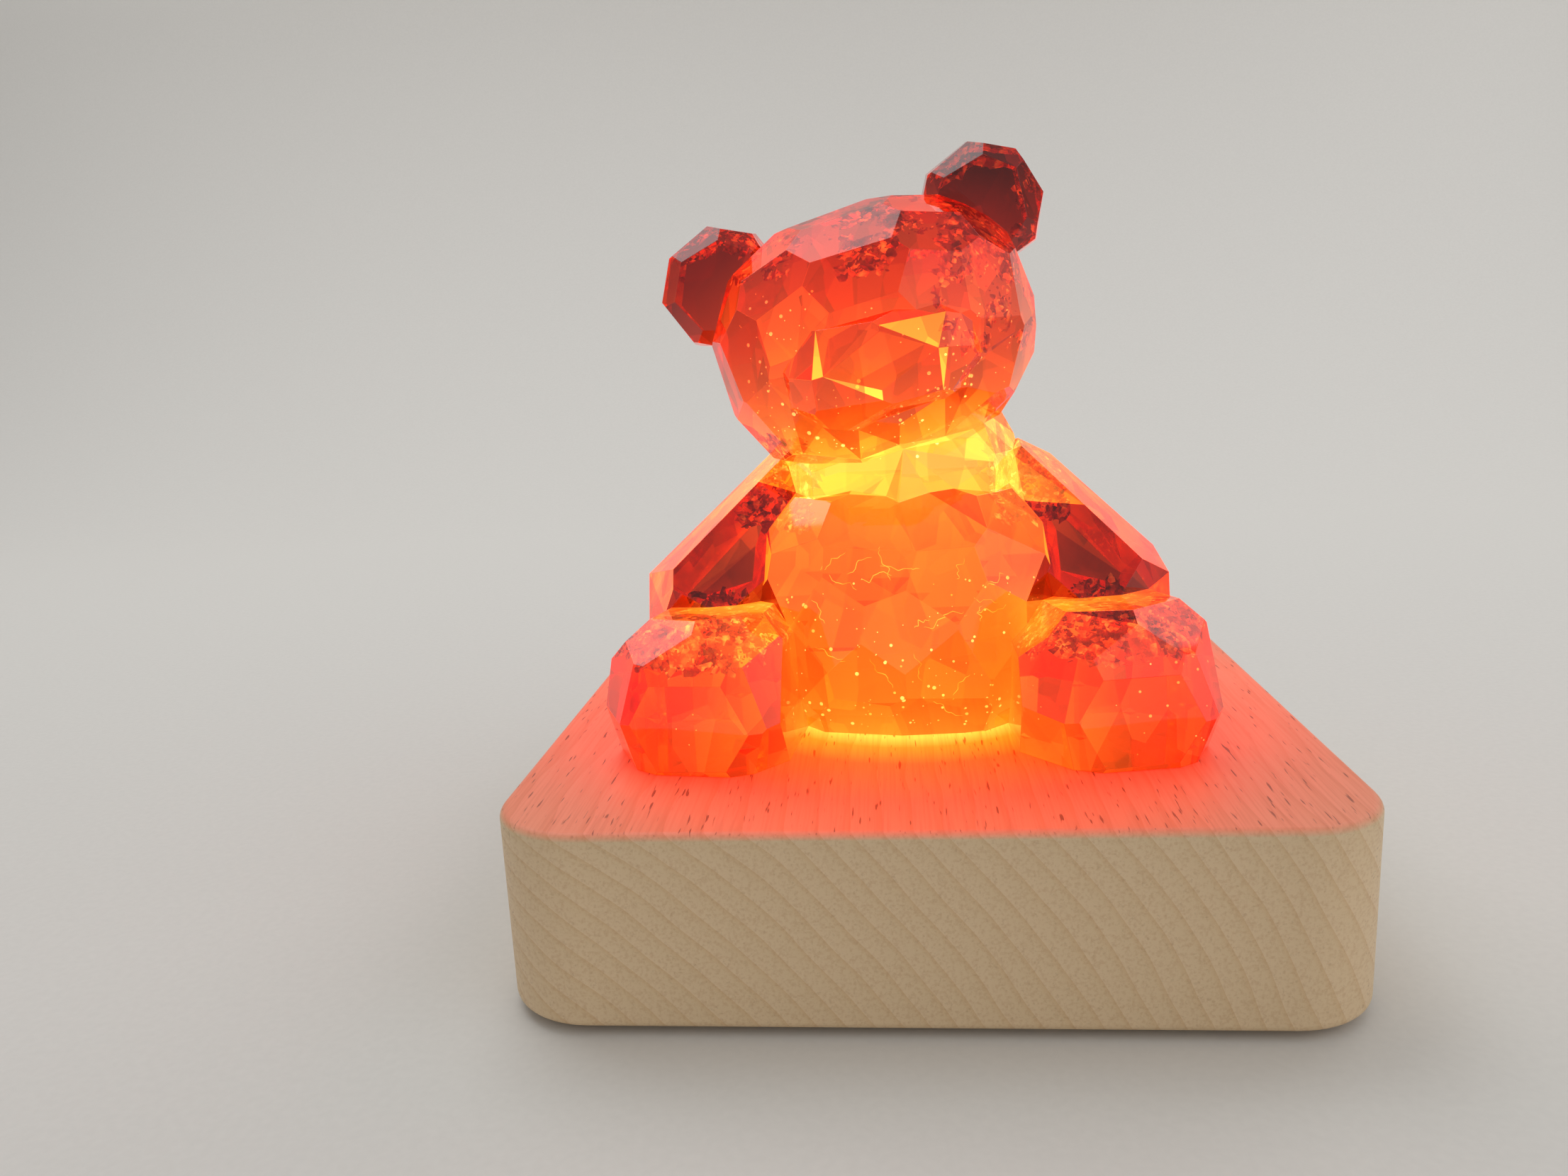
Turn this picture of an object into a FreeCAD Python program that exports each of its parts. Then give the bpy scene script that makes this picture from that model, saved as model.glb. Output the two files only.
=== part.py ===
import FreeCAD
import Part
import Sketcher
import math
import os

# Night light: a faceted cast-resin bear that stands loose on a square beech lamp base.
# Millimetres. The origin is the middle of the base on the table, +Z up, and the bear faces -Y.

Vector = FreeCAD.Vector

# Driving sizes: name, value, meaning
sizes = [
    ("base_width", "100", "beech block, left to right"),
    ("base_depth", "100", "beech block, front to back"),
    ("base_height", "23.5", "beech block, without its feet"),
    ("base_corner", "11", "radius of the block's upright corners"),
    ("edge_round", "1", "rounding of the block's top and bottom edges"),
    ("wall", "10", "block's walls round the cavity"),
    ("deck", "6", "block's top over the cavity"),
    ("ledge", "5", "ledge under the bottom cover's rim"),
    ("ledge_corner", "8", "radius of the cover's recess at its corners"),
    ("foot_height", "1", "rubber feet, which hold the block off the table"),
    ("foot_diameter", "9", "rubber feet at the cover"),
    ("foot_taper", "0.6", "how much narrower a foot is at the table, in diameter"),
    ("foot_inset", "21", "foot's middle from the block's sides"),
    ("cover_thickness", "2.5", "bottom cover"),
    ("cover_clearance", "0.2", "gap round the bottom cover"),
    ("cover_screw_inset", "13", "cover screws from the block's sides"),
    ("cover_screw_shank", "2.6", "cover screws' shank diameter"),
    ("cover_screw_head", "5", "cover screws' countersunk head diameter"),
    ("cover_screw_length", "9", "cover screws, over all"),
    ("screw_clearance", "0.05", "gap round every screw's shank and head"),
    ("window_diameter", "30", "frosted window in the deck"),
    ("window_thickness", "3", "frosted window"),
    ("window_recess", "0.2", "window's face below the deck"),
    ("window_clearance", "0.15", "gap round the window"),
    ("window_bevel", "0.3", "window's top edge"),
    ("well_diameter", "25", "light well under the window"),
    ("reflector_clearance", "0.1", "gap round the reflector ring"),
    ("reflector_foot", "1.9", "reflector ring's wall at the board"),
    ("reflector_lip", "0.8", "reflector ring's wall at the window"),
    ("board_thickness", "1.6", "both circuit boards"),
    ("led_board_diameter", "42", "round board under the deck"),
    ("led_side", "4", "square lamp packages"),
    ("led_height", "1.6", "lamp packages"),
    ("led_circle", "13", "circle that the outer lamps stand on, diameter"),
    ("lens_diameter", "3", "lamps' round light-giving face"),
    ("lens_height", "0.25", "lamps' light-giving face, above its package"),
    ("resistor_circle", "24", "circle that the resistors lie on, diameter"),
    ("resistor_length", "2", "resistors"),
    ("resistor_width", "1.25", "resistors"),
    ("resistor_height", "0.5", "resistors"),
    ("screw_shank", "2", "board screws' shank diameter"),
    ("screw_head", "3.8", "board screws' head diameter"),
    ("screw_head_height", "1.4", "board screws' head"),
    ("screw_length", "5", "board screws, under the head"),
    ("screw_slot", "0.5", "width of every screw's drive slot"),
    ("led_screw_circle", "37", "circle of the round board's screws, diameter"),
    ("control_width", "40", "control board, left to right"),
    ("control_height", "12", "control board, upright"),
    ("control_corner", "1", "radius of the control board's corners"),
    ("control_clearance", "0.5", "control board's ends to where the cavity's corners begin"),
    ("control_screw_spacing", "35", "control board's two screws"),
    ("socket_offset", "9", "power socket, left of the middle seen from the front"),
    ("socket_width", "9", "socket shell, outside"),
    ("socket_height", "3.3", "socket shell, outside"),
    ("socket_round", "1.6", "radius of the shell's ends"),
    ("socket_wall", "0.3", "socket shell's sheet"),
    ("socket_length", "6", "socket shell"),
    ("socket_clearance", "0.15", "gap between shell and wood"),
    ("tongue_width", "6.7", "tongue inside the socket"),
    ("tongue_thickness", "0.7", "tongue inside the socket"),
    ("tongue_round", "0.2", "radius of the tongue's long edges"),
    ("tongue_length", "4.4", "tongue, beyond its root"),
    ("tongue_root", "1.2", "insulating root that fills the shell's back"),
    ("contact_pitch", "1.2", "spacing of the tongue's contacts"),
    ("contact_width", "0.6", "tongue's contacts"),
    ("contact_height", "0.1", "tongue's contacts"),
    ("contact_length", "3.2", "tongue's contacts"),
    ("plug_width", "13.4", "recess for the plug's body"),
    ("plug_height", "7.6", "recess for the plug's body"),
    ("plug_round", "3", "corner radius of that recess"),
    ("button_offset", "9", "push button, right of the middle seen from the front"),
    ("button_travel", "1.2", "push button"),
    ("switch_side", "7", "square switch housing"),
    ("switch_depth", "5", "switch housing, off the board"),
    ("switch_wall", "0.6", "switch housing's walls"),
    ("switch_clearance", "0.5", "gap between housing and wood"),
    ("switch_round", "1", "corner radius of the housing's pocket"),
    ("flange_side", "5.2", "plunger's flange in the housing"),
    ("flange_height", "0.6", "plunger's flange"),
    ("flange_gap", "0.05", "flange to housing at rest"),
    ("stem_diameter", "3", "plunger's stem"),
    ("stem_clearance", "0.3", "gap between stem and housing"),
    ("stem_grip", "1.8", "how far the stem sits in the cap"),
    ("stem_fit", "0.02", "gap between stem and cap"),
    ("stop_gap", "0.3", "pressed cap to housing"),
    ("cap_diameter", "6.6", "button cap"),
    ("cap_clearance", "0.3", "gap round the button cap"),
    ("cap_proud", "1.3", "cap's face above its dish"),
    ("cap_bevel", "0.4", "cap's front edge"),
    ("dish_diameter", "13", "finger dish round the button"),
    ("dish_depth", "2", "finger dish"),
    ("spring_diameter", "4.2", "switch spring, middle of the wire"),
    ("spring_wire", "0.3", "switch spring"),
    ("spring_turns", "3", "switch spring"),
    ("spring_gap", "0.04", "spring's ends to what they bear on"),
    ("chip_length", "5", "driver chip"),
    ("chip_width", "4", "driver chip"),
    ("chip_height", "1.5", "driver chip"),
    ("chip_rise", "2.5", "driver chip above the control board's middle"),
    ("lead_diameter", "1.3", "both leads, over the insulation"),
    ("lead_spacing", "6", "leads apart"),
    ("lead_drop", "2.5", "leads below the control board's middle"),
    ("lead_reach", "15", "leads' far ends behind the middle"),
    ("lead_bend", "5", "leads' bend radius"),
    ("bear_left", "1.4", "bear's middle, left of the base's middle"),
    ("bear_forward", "1.5", "bear's middle, in front of the base's middle"),
    ("belly_width", "44.5", "belly"),
    ("belly_depth", "43", "belly"),
    ("belly_height", "41", "belly before its foot is cut flat"),
    ("belly_rise", "14.5", "belly's middle above the deck"),
    ("belly_fullness", "2.4", "boxiness of the belly, 2 for a round form"),
    ("chest_width", "31", "chest and neck"),
    ("chest_depth", "28", "chest and neck"),
    ("chest_height", "28", "chest and neck"),
    ("chest_lift", "15.5", "chest's middle above the belly's"),
    ("chest_fullness", "2.6", "boxiness of the chest, 2 for a round form"),
    ("head_width", "41.5", "head across the cheeks"),
    ("head_depth", "36", "head, front to back"),
    ("head_height", "33", "head, crown to chin"),
    ("head_left", "3.2", "head's middle, left of the belly's"),
    ("head_forward", "5", "head's middle, in front of the belly's"),
    ("head_tilt", "14", "head's lean to its right, degrees"),
    ("neck_overlap", "8.5", "how far the chest reaches into the head"),
    ("head_fullness", "2.3", "boxiness of the head, 2 for a round form"),
    ("muzzle_width", "25", "muzzle"),
    ("muzzle_height", "13.5", "muzzle"),
    ("muzzle_depth", "16", "muzzle, the half that shows and the half in the head"),
    ("muzzle_drop", "3.4", "muzzle's middle below the head's"),
    ("muzzle_sink", "5.6", "muzzle's middle behind the head's front"),
    ("muzzle_fullness", "2.4", "boxiness of the muzzle, 2 for a round form"),
    ("ear_width", "14", "ears, across"),
    ("ear_thickness", "8", "ears, front to back"),
    ("ear_spread", "17.6", "ears' middles from the head's middle"),
    ("ear_rise", "11.6", "ears' middles above the head's middle"),
    ("ear_fullness", "3", "boxiness of the ears, 2 for a round form"),
    ("arm_length", "36", "arms"),
    ("arm_width", "16.5", "arms, across"),
    ("arm_depth", "17", "arms, front to back"),
    ("arm_swing", "43.5", "arms' lean outwards, degrees"),
    ("arm_reach", "27", "arms' lean forwards, degrees"),
    ("arm_root", "3", "how much of an arm lies beyond the shoulder point"),
    ("shoulder_inset", "5.6", "shoulder points inside the chest's sides"),
    ("shoulder_lift", "1.4", "shoulder points above the chest's middle"),
    ("shoulder_back", "2", "shoulder points behind the chest's middle"),
    ("arm_fullness", "2.6", "boxiness of the arms, 2 for a round form"),
    ("leg_width", "20.8", "legs, across"),
    ("leg_height", "17", "legs, above the deck"),
    ("leg_length", "36", "legs, hip to sole"),
    ("leg_splay", "8", "legs' turn outwards, degrees"),
    ("leg_spread", "22", "hips from the bear's middle"),
    ("leg_back", "4", "hips behind the bear's middle"),
    ("leg_fullness", "4", "boxiness of the legs, 2 for a round form"),
    ("form_sink", "4.6", "how far the legs reach below the deck before they are cut flat"),
    ("facet_wander", "2.5", "how far the flats wander from an even layout, degrees"),
]

doc = FreeCAD.newDocument("BearNightLight")
sheet = doc.addObject("Spreadsheet::Sheet", "size")
for row, (alias, number, meaning) in enumerate(sizes, start=1):
    sheet.set(f"A{row}", alias)
    sheet.set(f"B{row}", number)
    sheet.set(f"C{row}", meaning)
    sheet.setAlias(f"B{row}", alias)
doc.recompute()

sub_parts = []


def size_of(alias):
    return float(sheet.get(alias))


# Levels and planes that several pieces share, as expressions on the sheet
block_foot = "size.foot_height"
deck_top = "(size.foot_height + size.base_height)"
deck_under = "(size.foot_height + size.base_height - size.deck)"
cover_top = "(size.foot_height + size.cover_thickness)"
control_z = f"(({cover_top} + {deck_under}) / 2)"
wall_inside = "(size.base_depth / 2 - size.wall)"
window_seat = "(size.window_thickness + size.window_recess)"
led_board_under = f"({deck_under} - size.board_thickness)"
control_face = f"({wall_inside} - size.board_thickness)"
cavity_corner = "((size.base_width - size.control_width) / 2 - size.wall - size.control_clearance)"

along_y = FreeCAD.Rotation(Vector(1, 0, 0), -90)


# Helpers for bound features

def bind(feature, expressions):
    for name, text in expressions.items():
        feature.setExpression(name, text)


def place(feature, x="0", y="0", z="0", turn=None):
    if turn is not None:
        feature.Placement = FreeCAD.Placement(Vector(), turn)
    bind(feature, {"Placement.Base.x": x, "Placement.Base.y": y, "Placement.Base.z": z})


def primitive(kind, name, expressions, x="0", y="0", z="0", turn=None):
    feature = doc.addObject(f"Part::{kind}", name)
    bind(feature, expressions)
    place(feature, x, y, z, turn)
    return feature


def box(name, length, width, height, x, y, z):
    # A box centred on x and y, standing on z
    corner_x = f"{x} - ({length}) / 2"
    corner_y = f"{y} - ({width}) / 2"
    extents = {"Length": length, "Width": width, "Height": height}
    return primitive("Box", name, extents, corner_x, corner_y, z)


def box_off_wall(name, length, depth, height, x, y, z):
    # A box centred on x and z that runs back from y
    corner_x = f"{x} - ({length}) / 2"
    corner_z = f"{z} - ({height}) / 2"
    extents = {"Length": length, "Width": depth, "Height": height}
    return primitive("Box", name, extents, corner_x, y, corner_z)


def cylinder(name, diameter, height, x="0", y="0", z="0", turn=None):
    return primitive("Cylinder", name, {"Radius": f"({diameter}) / 2", "Height": height}, x, y, z, turn)


def cone(name, low_diameter, high_diameter, height, x="0", y="0", z="0", turn=None):
    radii = {"Radius1": f"({low_diameter}) / 2", "Radius2": f"({high_diameter}) / 2", "Height": height}
    return primitive("Cone", name, radii, x, y, z, turn)


def fuse(name, members):
    feature = doc.addObject("Part::MultiFuse", name)
    feature.Shapes = members
    return feature


def cut(name, base, tool):
    feature = doc.addObject("Part::Cut", name)
    feature.Base = base
    feature.Tool = tool
    return feature


def group(name, members):
    feature = doc.addObject("Part::Compound", name)
    feature.Links = members
    return feature


def keep(feature, label):
    feature.Label = label
    sub_parts.append(feature)


# Helpers for sketched bodies

def new_body(name, z="0"):
    body = doc.addObject("PartDesign::Body", name)
    place(body, z=z)
    return body


def origin_part(body, role):
    return next(part for part in body.Origin.OriginFeatures if part.Role == role)


def sketch_on(body, name, role, x="0", y="0", z="0"):
    # The sketch's own origin is moved by x and y in its plane and by z along its normal
    sketch = body.newObject("Sketcher::SketchObject", name)
    sketch.AttachmentSupport = [(origin_part(body, role), "")]
    sketch.MapMode = "FlatFace"
    bind(sketch, {"AttachmentOffset.Base.x": x, "AttachmentOffset.Base.y": y, "AttachmentOffset.Base.z": z})
    return sketch


def constrain(sketch, kind, *items):
    return sketch.addConstraint(Sketcher.Constraint(kind, *items))


def dimension(sketch, name, text, kind, *items):
    index = constrain(sketch, kind, *items)
    sketch.renameConstraint(index, name)
    sketch.setExpression(f"Constraints.{name}", text)


def draw_circle(sketch, diameter):
    # Drawn at a rough size first
    radius = 5.0
    circle = sketch.addGeometry(Part.Circle(Vector(), Vector(0, 0, 1), radius))
    constrain(sketch, "Coincident", circle, 3, -1, 1)
    dimension(sketch, "diameter", diameter, "Diameter", circle, 2 * radius)


def draw_round_rectangle(sketch, width, height, radius):
    # Four sides and four tangent corner arcs about the sketch's origin, drawn at a rough size first
    half, corner = 20.0, 5.0
    flat = half - corner
    sides = []
    for turn in range(4):
        spin = FreeCAD.Rotation(Vector(0, 0, 1), 90 * turn)
        start = spin.multVec(Vector(-flat, -half, 0))
        end = spin.multVec(Vector(flat, -half, 0))
        middle = spin.multVec(Vector(flat, -flat, 0))
        line = sketch.addGeometry(Part.LineSegment(start, end))
        ring = Part.Circle(middle, Vector(0, 0, 1), corner)
        first = math.radians(90 * turn - 90)
        arc = sketch.addGeometry(Part.ArcOfCircle(ring, first, first + math.pi / 2))
        sides.append((line, arc))
    for turn, (line, arc) in enumerate(sides):
        next_line = sides[(turn + 1) % 4][0]
        constrain(sketch, "Tangent", line, 2, arc, 1)
        constrain(sketch, "Tangent", arc, 2, next_line, 1)
        constrain(sketch, "Horizontal" if turn % 2 == 0 else "Vertical", line)
        if turn:
            constrain(sketch, "Equal", sides[0][1], arc)
    bottom, right, top, left = [line for line, arc in sides]
    constrain(sketch, "Symmetric", bottom, 1, top, 1, -1, 1)
    dimension(sketch, "width", width, "DistanceX", left, 1, right, 1, 2 * half)
    dimension(sketch, "height", height, "DistanceY", bottom, 1, top, 1, 2 * half)
    dimension(sketch, "radius", radius, "Radius", sides[0][1], corner)


def draw_corner_circles(sketch, diameter, spacing_x, spacing_y):
    # Four equal circles at the corners of a rectangle about the sketch's origin, drawn at a rough size first
    half, radius = 20.0, 2.0
    corners = [(1, 1), (-1, 1), (-1, -1), (1, -1)]
    circles = []
    for sign_x, sign_y in corners:
        ring = Part.Circle(Vector(sign_x * half, sign_y * half, 0), Vector(0, 0, 1), radius)
        circles.append(sketch.addGeometry(ring))
    first, across, opposite, below = circles
    for other in circles[1:]:
        constrain(sketch, "Equal", first, other)
    constrain(sketch, "Symmetric", first, 3, across, 3, -2)
    constrain(sketch, "Symmetric", first, 3, opposite, 3, -1, 1)
    constrain(sketch, "Symmetric", first, 3, below, 3, -1)
    dimension(sketch, "spacing_x", spacing_x, "DistanceX", across, 3, first, 3, 2 * half)
    dimension(sketch, "spacing_y", spacing_y, "DistanceY", below, 3, first, 3, 2 * half)
    dimension(sketch, "diameter", diameter, "Diameter", first, 2 * radius)


def pad(body, sketch, length, against_normal=False):
    feature = body.newObject("PartDesign::Pad", f"{sketch.Name}_pad")
    feature.Profile = sketch
    feature.Reversed = against_normal
    feature.setExpression("Length", length)
    return feature


def pocket(body, sketch, depth, with_normal=False):
    feature = body.newObject("PartDesign::Pocket", f"{sketch.Name}_pocket")
    feature.Profile = sketch
    feature.Reversed = with_normal
    feature.setExpression("Length", depth)
    return feature


def polar(body, feature, count):
    pattern = body.newObject("PartDesign::PolarPattern", f"{feature.Name}_ring")
    pattern.Originals = [feature]
    pattern.Axis = (origin_part(body, "Z_Axis"), [""])
    pattern.Angle = 360
    pattern.Occurrences = count
    body.Tip = pattern
    return pattern


def ease_edges(body, kind, feature, wanted, property_name, text):
    # Rounds or bevels the edges of a feature that the test picks
    doc.recompute()
    names = [f"Edge{i}" for i, edge in enumerate(feature.Shape.Edges, start=1) if wanted(edge)]
    easing = body.newObject(f"PartDesign::{kind}", f"{feature.Name}_eased")
    easing.Base = (feature, names)
    easing.setExpression(property_name, text)
    return easing


def is_level(edge):
    return edge.BoundBox.ZLength < 0.001


# Beech block: hollowed from below, with a stepped light hole and two openings in its rear wall

led_screw_turns = (30, 150, 270)


def make_base_block():
    body = new_body("beech_block", z=block_foot)
    outline = sketch_on(body, "block_outline", "XY_Plane")
    draw_round_rectangle(outline, "size.base_width", "size.base_depth", "size.base_corner")
    blank = pad(body, outline, "size.base_height")
    ease_edges(body, "Fillet", blank, is_level, "Radius", "size.edge_round")

    cavity = sketch_on(body, "cavity", "XY_Plane")
    draw_round_rectangle(cavity, "size.base_width - 2 * size.wall", "size.base_depth - 2 * size.wall",
                         cavity_corner)
    pocket(body, cavity, "size.base_height - size.deck", with_normal=True)

    recess = sketch_on(body, "cover_recess", "XY_Plane")
    draw_round_rectangle(recess, "size.base_width - 2 * (size.wall - size.ledge)",
                         "size.base_depth - 2 * (size.wall - size.ledge)", "size.ledge_corner")
    pocket(body, recess, "size.cover_thickness", with_normal=True)

    pilots = sketch_on(body, "cover_pilots", "XY_Plane")
    draw_corner_circles(pilots, "size.cover_screw_shank + 2 * size.screw_clearance",
                        "size.base_width - 2 * size.cover_screw_inset",
                        "size.base_depth - 2 * size.cover_screw_inset")
    pocket(body, pilots, "size.cover_screw_length + size.screw_clearance", with_normal=True)

    seat = sketch_on(body, "window_seat", "XY_Plane", z="size.base_height")
    draw_circle(seat, "size.window_diameter + 2 * size.window_clearance")
    pocket(body, seat, window_seat)
    well = sketch_on(body, "light_well", "XY_Plane", z="size.base_height")
    draw_circle(well, "size.well_diameter")
    pocket(body, well, "size.deck")

    first_turn = led_screw_turns[0]
    led_pilot = sketch_on(body, "led_pilot", "XY_Plane", z="size.base_height - size.deck",
                          x=f"size.led_screw_circle / 2 * cos({first_turn} deg)",
                          y=f"size.led_screw_circle / 2 * sin({first_turn} deg)")
    draw_circle(led_pilot, "size.screw_shank + 2 * size.screw_clearance")
    first_pilot = pocket(body, led_pilot, "size.screw_length - size.board_thickness + size.screw_clearance",
                         with_normal=True)
    polar(body, first_pilot, len(led_screw_turns))

    # Upright sketches: their normal points to -Y, so a plain pocket runs back and a reversed one forward
    rear_face = "-size.base_depth / 2"
    inner_face = f"-{wall_inside}"
    mid_height = f"{control_z} - {block_foot}"
    slot = sketch_on(body, "socket_slot", "XZ_Plane", x="-size.socket_offset", y=mid_height, z=inner_face)
    draw_round_rectangle(slot, "size.socket_width + 2 * size.socket_clearance",
                         "size.socket_height + 2 * size.socket_clearance",
                         "size.socket_round + size.socket_clearance")
    pocket(body, slot, "size.wall")
    mouth = sketch_on(body, "plug_recess", "XZ_Plane", x="-size.socket_offset", y=mid_height, z=rear_face)
    draw_round_rectangle(mouth, "size.plug_width", "size.plug_height", "size.plug_round")
    pocket(body, mouth, "size.wall - size.socket_length", with_normal=True)

    housing = sketch_on(body, "switch_pocket", "XZ_Plane", x="size.button_offset", y=mid_height,
                        z=inner_face)
    draw_round_rectangle(housing, "size.switch_side + 2 * size.switch_clearance",
                         "size.switch_side + 2 * size.switch_clearance", "size.switch_round")
    pocket(body, housing, "size.switch_depth + size.stop_gap")
    bore = sketch_on(body, "cap_bore", "XZ_Plane", x="size.button_offset", y=mid_height, z=inner_face)
    draw_circle(bore, "size.cap_diameter + 2 * size.cap_clearance")
    pocket(body, bore, "size.wall")
    dish = sketch_on(body, "finger_dish", "XZ_Plane", x="size.button_offset", y=mid_height, z=rear_face)
    draw_circle(dish, "size.dish_diameter")
    pocket(body, dish, "size.dish_depth", with_normal=True)

    for side, sign in (("left", "-"), ("right", "")):
        pilot = sketch_on(body, f"control_pilot_{side}", "XZ_Plane", y=mid_height, z=inner_face,
                          x=f"{sign}size.control_screw_spacing / 2")
        draw_circle(pilot, "size.screw_shank + 2 * size.screw_clearance")
        pocket(body, pilot, "size.screw_length - size.board_thickness + size.screw_clearance")
    keep(body, "base_block")


# Underside: cover, its screws and the feet

corner_signs = [("", ""), ("-", ""), ("-", "-"), ("", "-")]
cover_head_height = "((size.cover_screw_head - size.cover_screw_shank) / 2)"


def make_bottom_cover():
    body = new_body("cover_plate", z=block_foot)
    outline = sketch_on(body, "cover_outline", "XY_Plane")
    draw_round_rectangle(outline, "size.base_width - 2 * (size.wall - size.ledge + size.cover_clearance)",
                         "size.base_depth - 2 * (size.wall - size.ledge + size.cover_clearance)",
                         "size.ledge_corner - size.cover_clearance")
    pad(body, outline, "size.cover_thickness")
    holes = sketch_on(body, "cover_holes", "XY_Plane")
    draw_corner_circles(holes, "size.cover_screw_shank + 2 * size.screw_clearance",
                        "size.base_width - 2 * size.cover_screw_inset",
                        "size.base_depth - 2 * size.cover_screw_inset")
    drilled = pocket(body, holes, "size.cover_thickness", with_normal=True)

    def is_hole_mouth(edge):
        shank = size_of("cover_screw_shank") / 2 + size_of("screw_clearance")
        round_hole = isinstance(edge.Curve, Part.Circle) and abs(edge.Curve.Radius - shank) < 0.001
        return round_hole and is_level(edge) and abs(edge.BoundBox.ZMin) < 0.001

    ease_edges(body, "Chamfer", drilled, is_hole_mouth, "Size", cover_head_height)
    keep(body, "bottom_cover")


def make_cover_screws():
    screws = []
    for index, (sign_x, sign_y) in enumerate(corner_signs, start=1):
        x = f"{sign_x}(size.base_width / 2 - size.cover_screw_inset)"
        y = f"{sign_y}(size.base_depth / 2 - size.cover_screw_inset)"
        head = cone(f"cover_head_{index}", "size.cover_screw_head", "size.cover_screw_shank",
                    cover_head_height, x, y, block_foot)
        shank = cylinder(f"cover_shank_{index}", "size.cover_screw_shank", "size.cover_screw_length",
                         x, y, block_foot)
        slot = box(f"cover_slot_{index}", "size.cover_screw_head", "size.screw_slot",
                   f"{cover_head_height} / 2", x, y, block_foot)
        screw = fuse(f"cover_screw_{index}", [head, shank])
        screws.append(cut(f"cover_screw_slotted_{index}", screw, slot))
    keep(group("cover_screw_set", screws), "cover_screws")


def make_rubber_feet():
    feet = []
    for index, (sign_x, sign_y) in enumerate(corner_signs, start=1):
        x = f"{sign_x}(size.base_width / 2 - size.foot_inset)"
        y = f"{sign_y}(size.base_depth / 2 - size.foot_inset)"
        feet.append(cone(f"foot_{index}", "size.foot_diameter - size.foot_taper", "size.foot_diameter",
                         "size.foot_height", x, y))
    keep(group("foot_set", feet), "rubber_feet")


# Light: window, reflector and the round board with its lamps

def make_light_window():
    body = new_body("window_disc", z=f"{deck_top} - {window_seat}")
    outline = sketch_on(body, "window_outline", "XY_Plane")
    draw_circle(outline, "size.window_diameter")
    disc = pad(body, outline, "size.window_thickness")

    def is_top_edge(edge):
        return is_level(edge) and edge.BoundBox.ZMin > size_of("window_thickness") / 2

    ease_edges(body, "Chamfer", disc, is_top_edge, "Size", "size.window_bevel")
    keep(body, "light_window")


def make_reflector_ring():
    outer = "(size.well_diameter - 2 * size.reflector_clearance)"
    height = f"size.deck - {window_seat}"
    ring = cylinder("reflector_blank", outer, height, z=deck_under)
    opening = cone("reflector_opening", f"{outer} - 2 * size.reflector_foot",
                   f"{outer} - 2 * size.reflector_lip", height, z=deck_under)
    keep(cut("reflector", ring, opening), "reflector_ring")


def make_led_board():
    body = new_body("lamp_board", z=led_board_under)
    outline = sketch_on(body, "lamp_board_outline", "XY_Plane")
    draw_circle(outline, "size.led_board_diameter")
    pad(body, outline, "size.board_thickness")
    first_turn = led_screw_turns[0]
    hole = sketch_on(body, "lamp_board_hole", "XY_Plane",
                     x=f"size.led_screw_circle / 2 * cos({first_turn} deg)",
                     y=f"size.led_screw_circle / 2 * sin({first_turn} deg)")
    draw_circle(hole, "size.screw_shank + 2 * size.screw_clearance")
    polar(body, pocket(body, hole, "size.board_thickness", with_normal=True), len(led_screw_turns))
    keep(body, "led_board")


def ring_points(diameter, turns):
    return [(f"{diameter} / 2 * cos({turn} deg)", f"{diameter} / 2 * sin({turn} deg)") for turn in turns]


def make_lamps():
    places = [("0", "0")] + ring_points("size.led_circle", range(0, 360, 60))
    packages = []
    lenses = []
    for index, (x, y) in enumerate(places, start=1):
        packages.append(box(f"lamp_{index}", "size.led_side", "size.led_side", "size.led_height",
                            x, y, deck_under))
        lenses.append(cylinder(f"lens_{index}", "size.lens_diameter", "size.lens_height", x, y,
                               f"{deck_under} + size.led_height"))
    keep(group("lamp_set", packages), "led_packages")
    keep(group("lens_set", lenses), "led_lenses")


def make_resistors():
    resistors = []
    for index, (x, y) in enumerate(ring_points("size.resistor_circle", range(0, 360, 60)), start=1):
        resistors.append(box(f"resistor_{index}", "size.resistor_length", "size.resistor_width",
                             "size.resistor_height", x, y, f"{led_board_under} - size.resistor_height"))
    keep(group("resistor_set", resistors), "led_resistors")


def make_led_board_screws():
    screws = []
    for index, (x, y) in enumerate(ring_points("size.led_screw_circle", led_screw_turns), start=1):
        head_foot = f"{led_board_under} - size.screw_head_height"
        head = cylinder(f"lamp_screw_head_{index}", "size.screw_head", "size.screw_head_height",
                        x, y, head_foot)
        shank = cylinder(f"lamp_screw_shank_{index}", "size.screw_shank", "size.screw_length",
                         x, y, led_board_under)
        slot = box(f"lamp_screw_slot_{index}", "size.screw_head", "size.screw_slot",
                   "size.screw_head_height / 2", x, y, head_foot)
        screw = fuse(f"lamp_screw_{index}", [head, shank])
        screws.append(cut(f"lamp_screw_slotted_{index}", screw, slot))
    keep(group("lamp_screw_set", screws), "led_board_screws")


# Rear wall: control board with its power socket and push switch

def make_control_board():
    body = new_body("control_plate")
    outline = sketch_on(body, "control_outline", "XZ_Plane", y=control_z, z=f"-{wall_inside}")
    draw_round_rectangle(outline, "size.control_width", "size.control_height", "size.control_corner")
    pad(body, outline, "size.board_thickness")
    for side, sign in (("left", "-"), ("right", "")):
        hole = sketch_on(body, f"control_hole_{side}", "XZ_Plane", y=control_z, z=f"-{control_face}",
                         x=f"{sign}size.control_screw_spacing / 2")
        draw_circle(hole, "size.screw_shank + 2 * size.screw_clearance")
        pocket(body, hole, "size.board_thickness")
    keep(body, "control_board")


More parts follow.
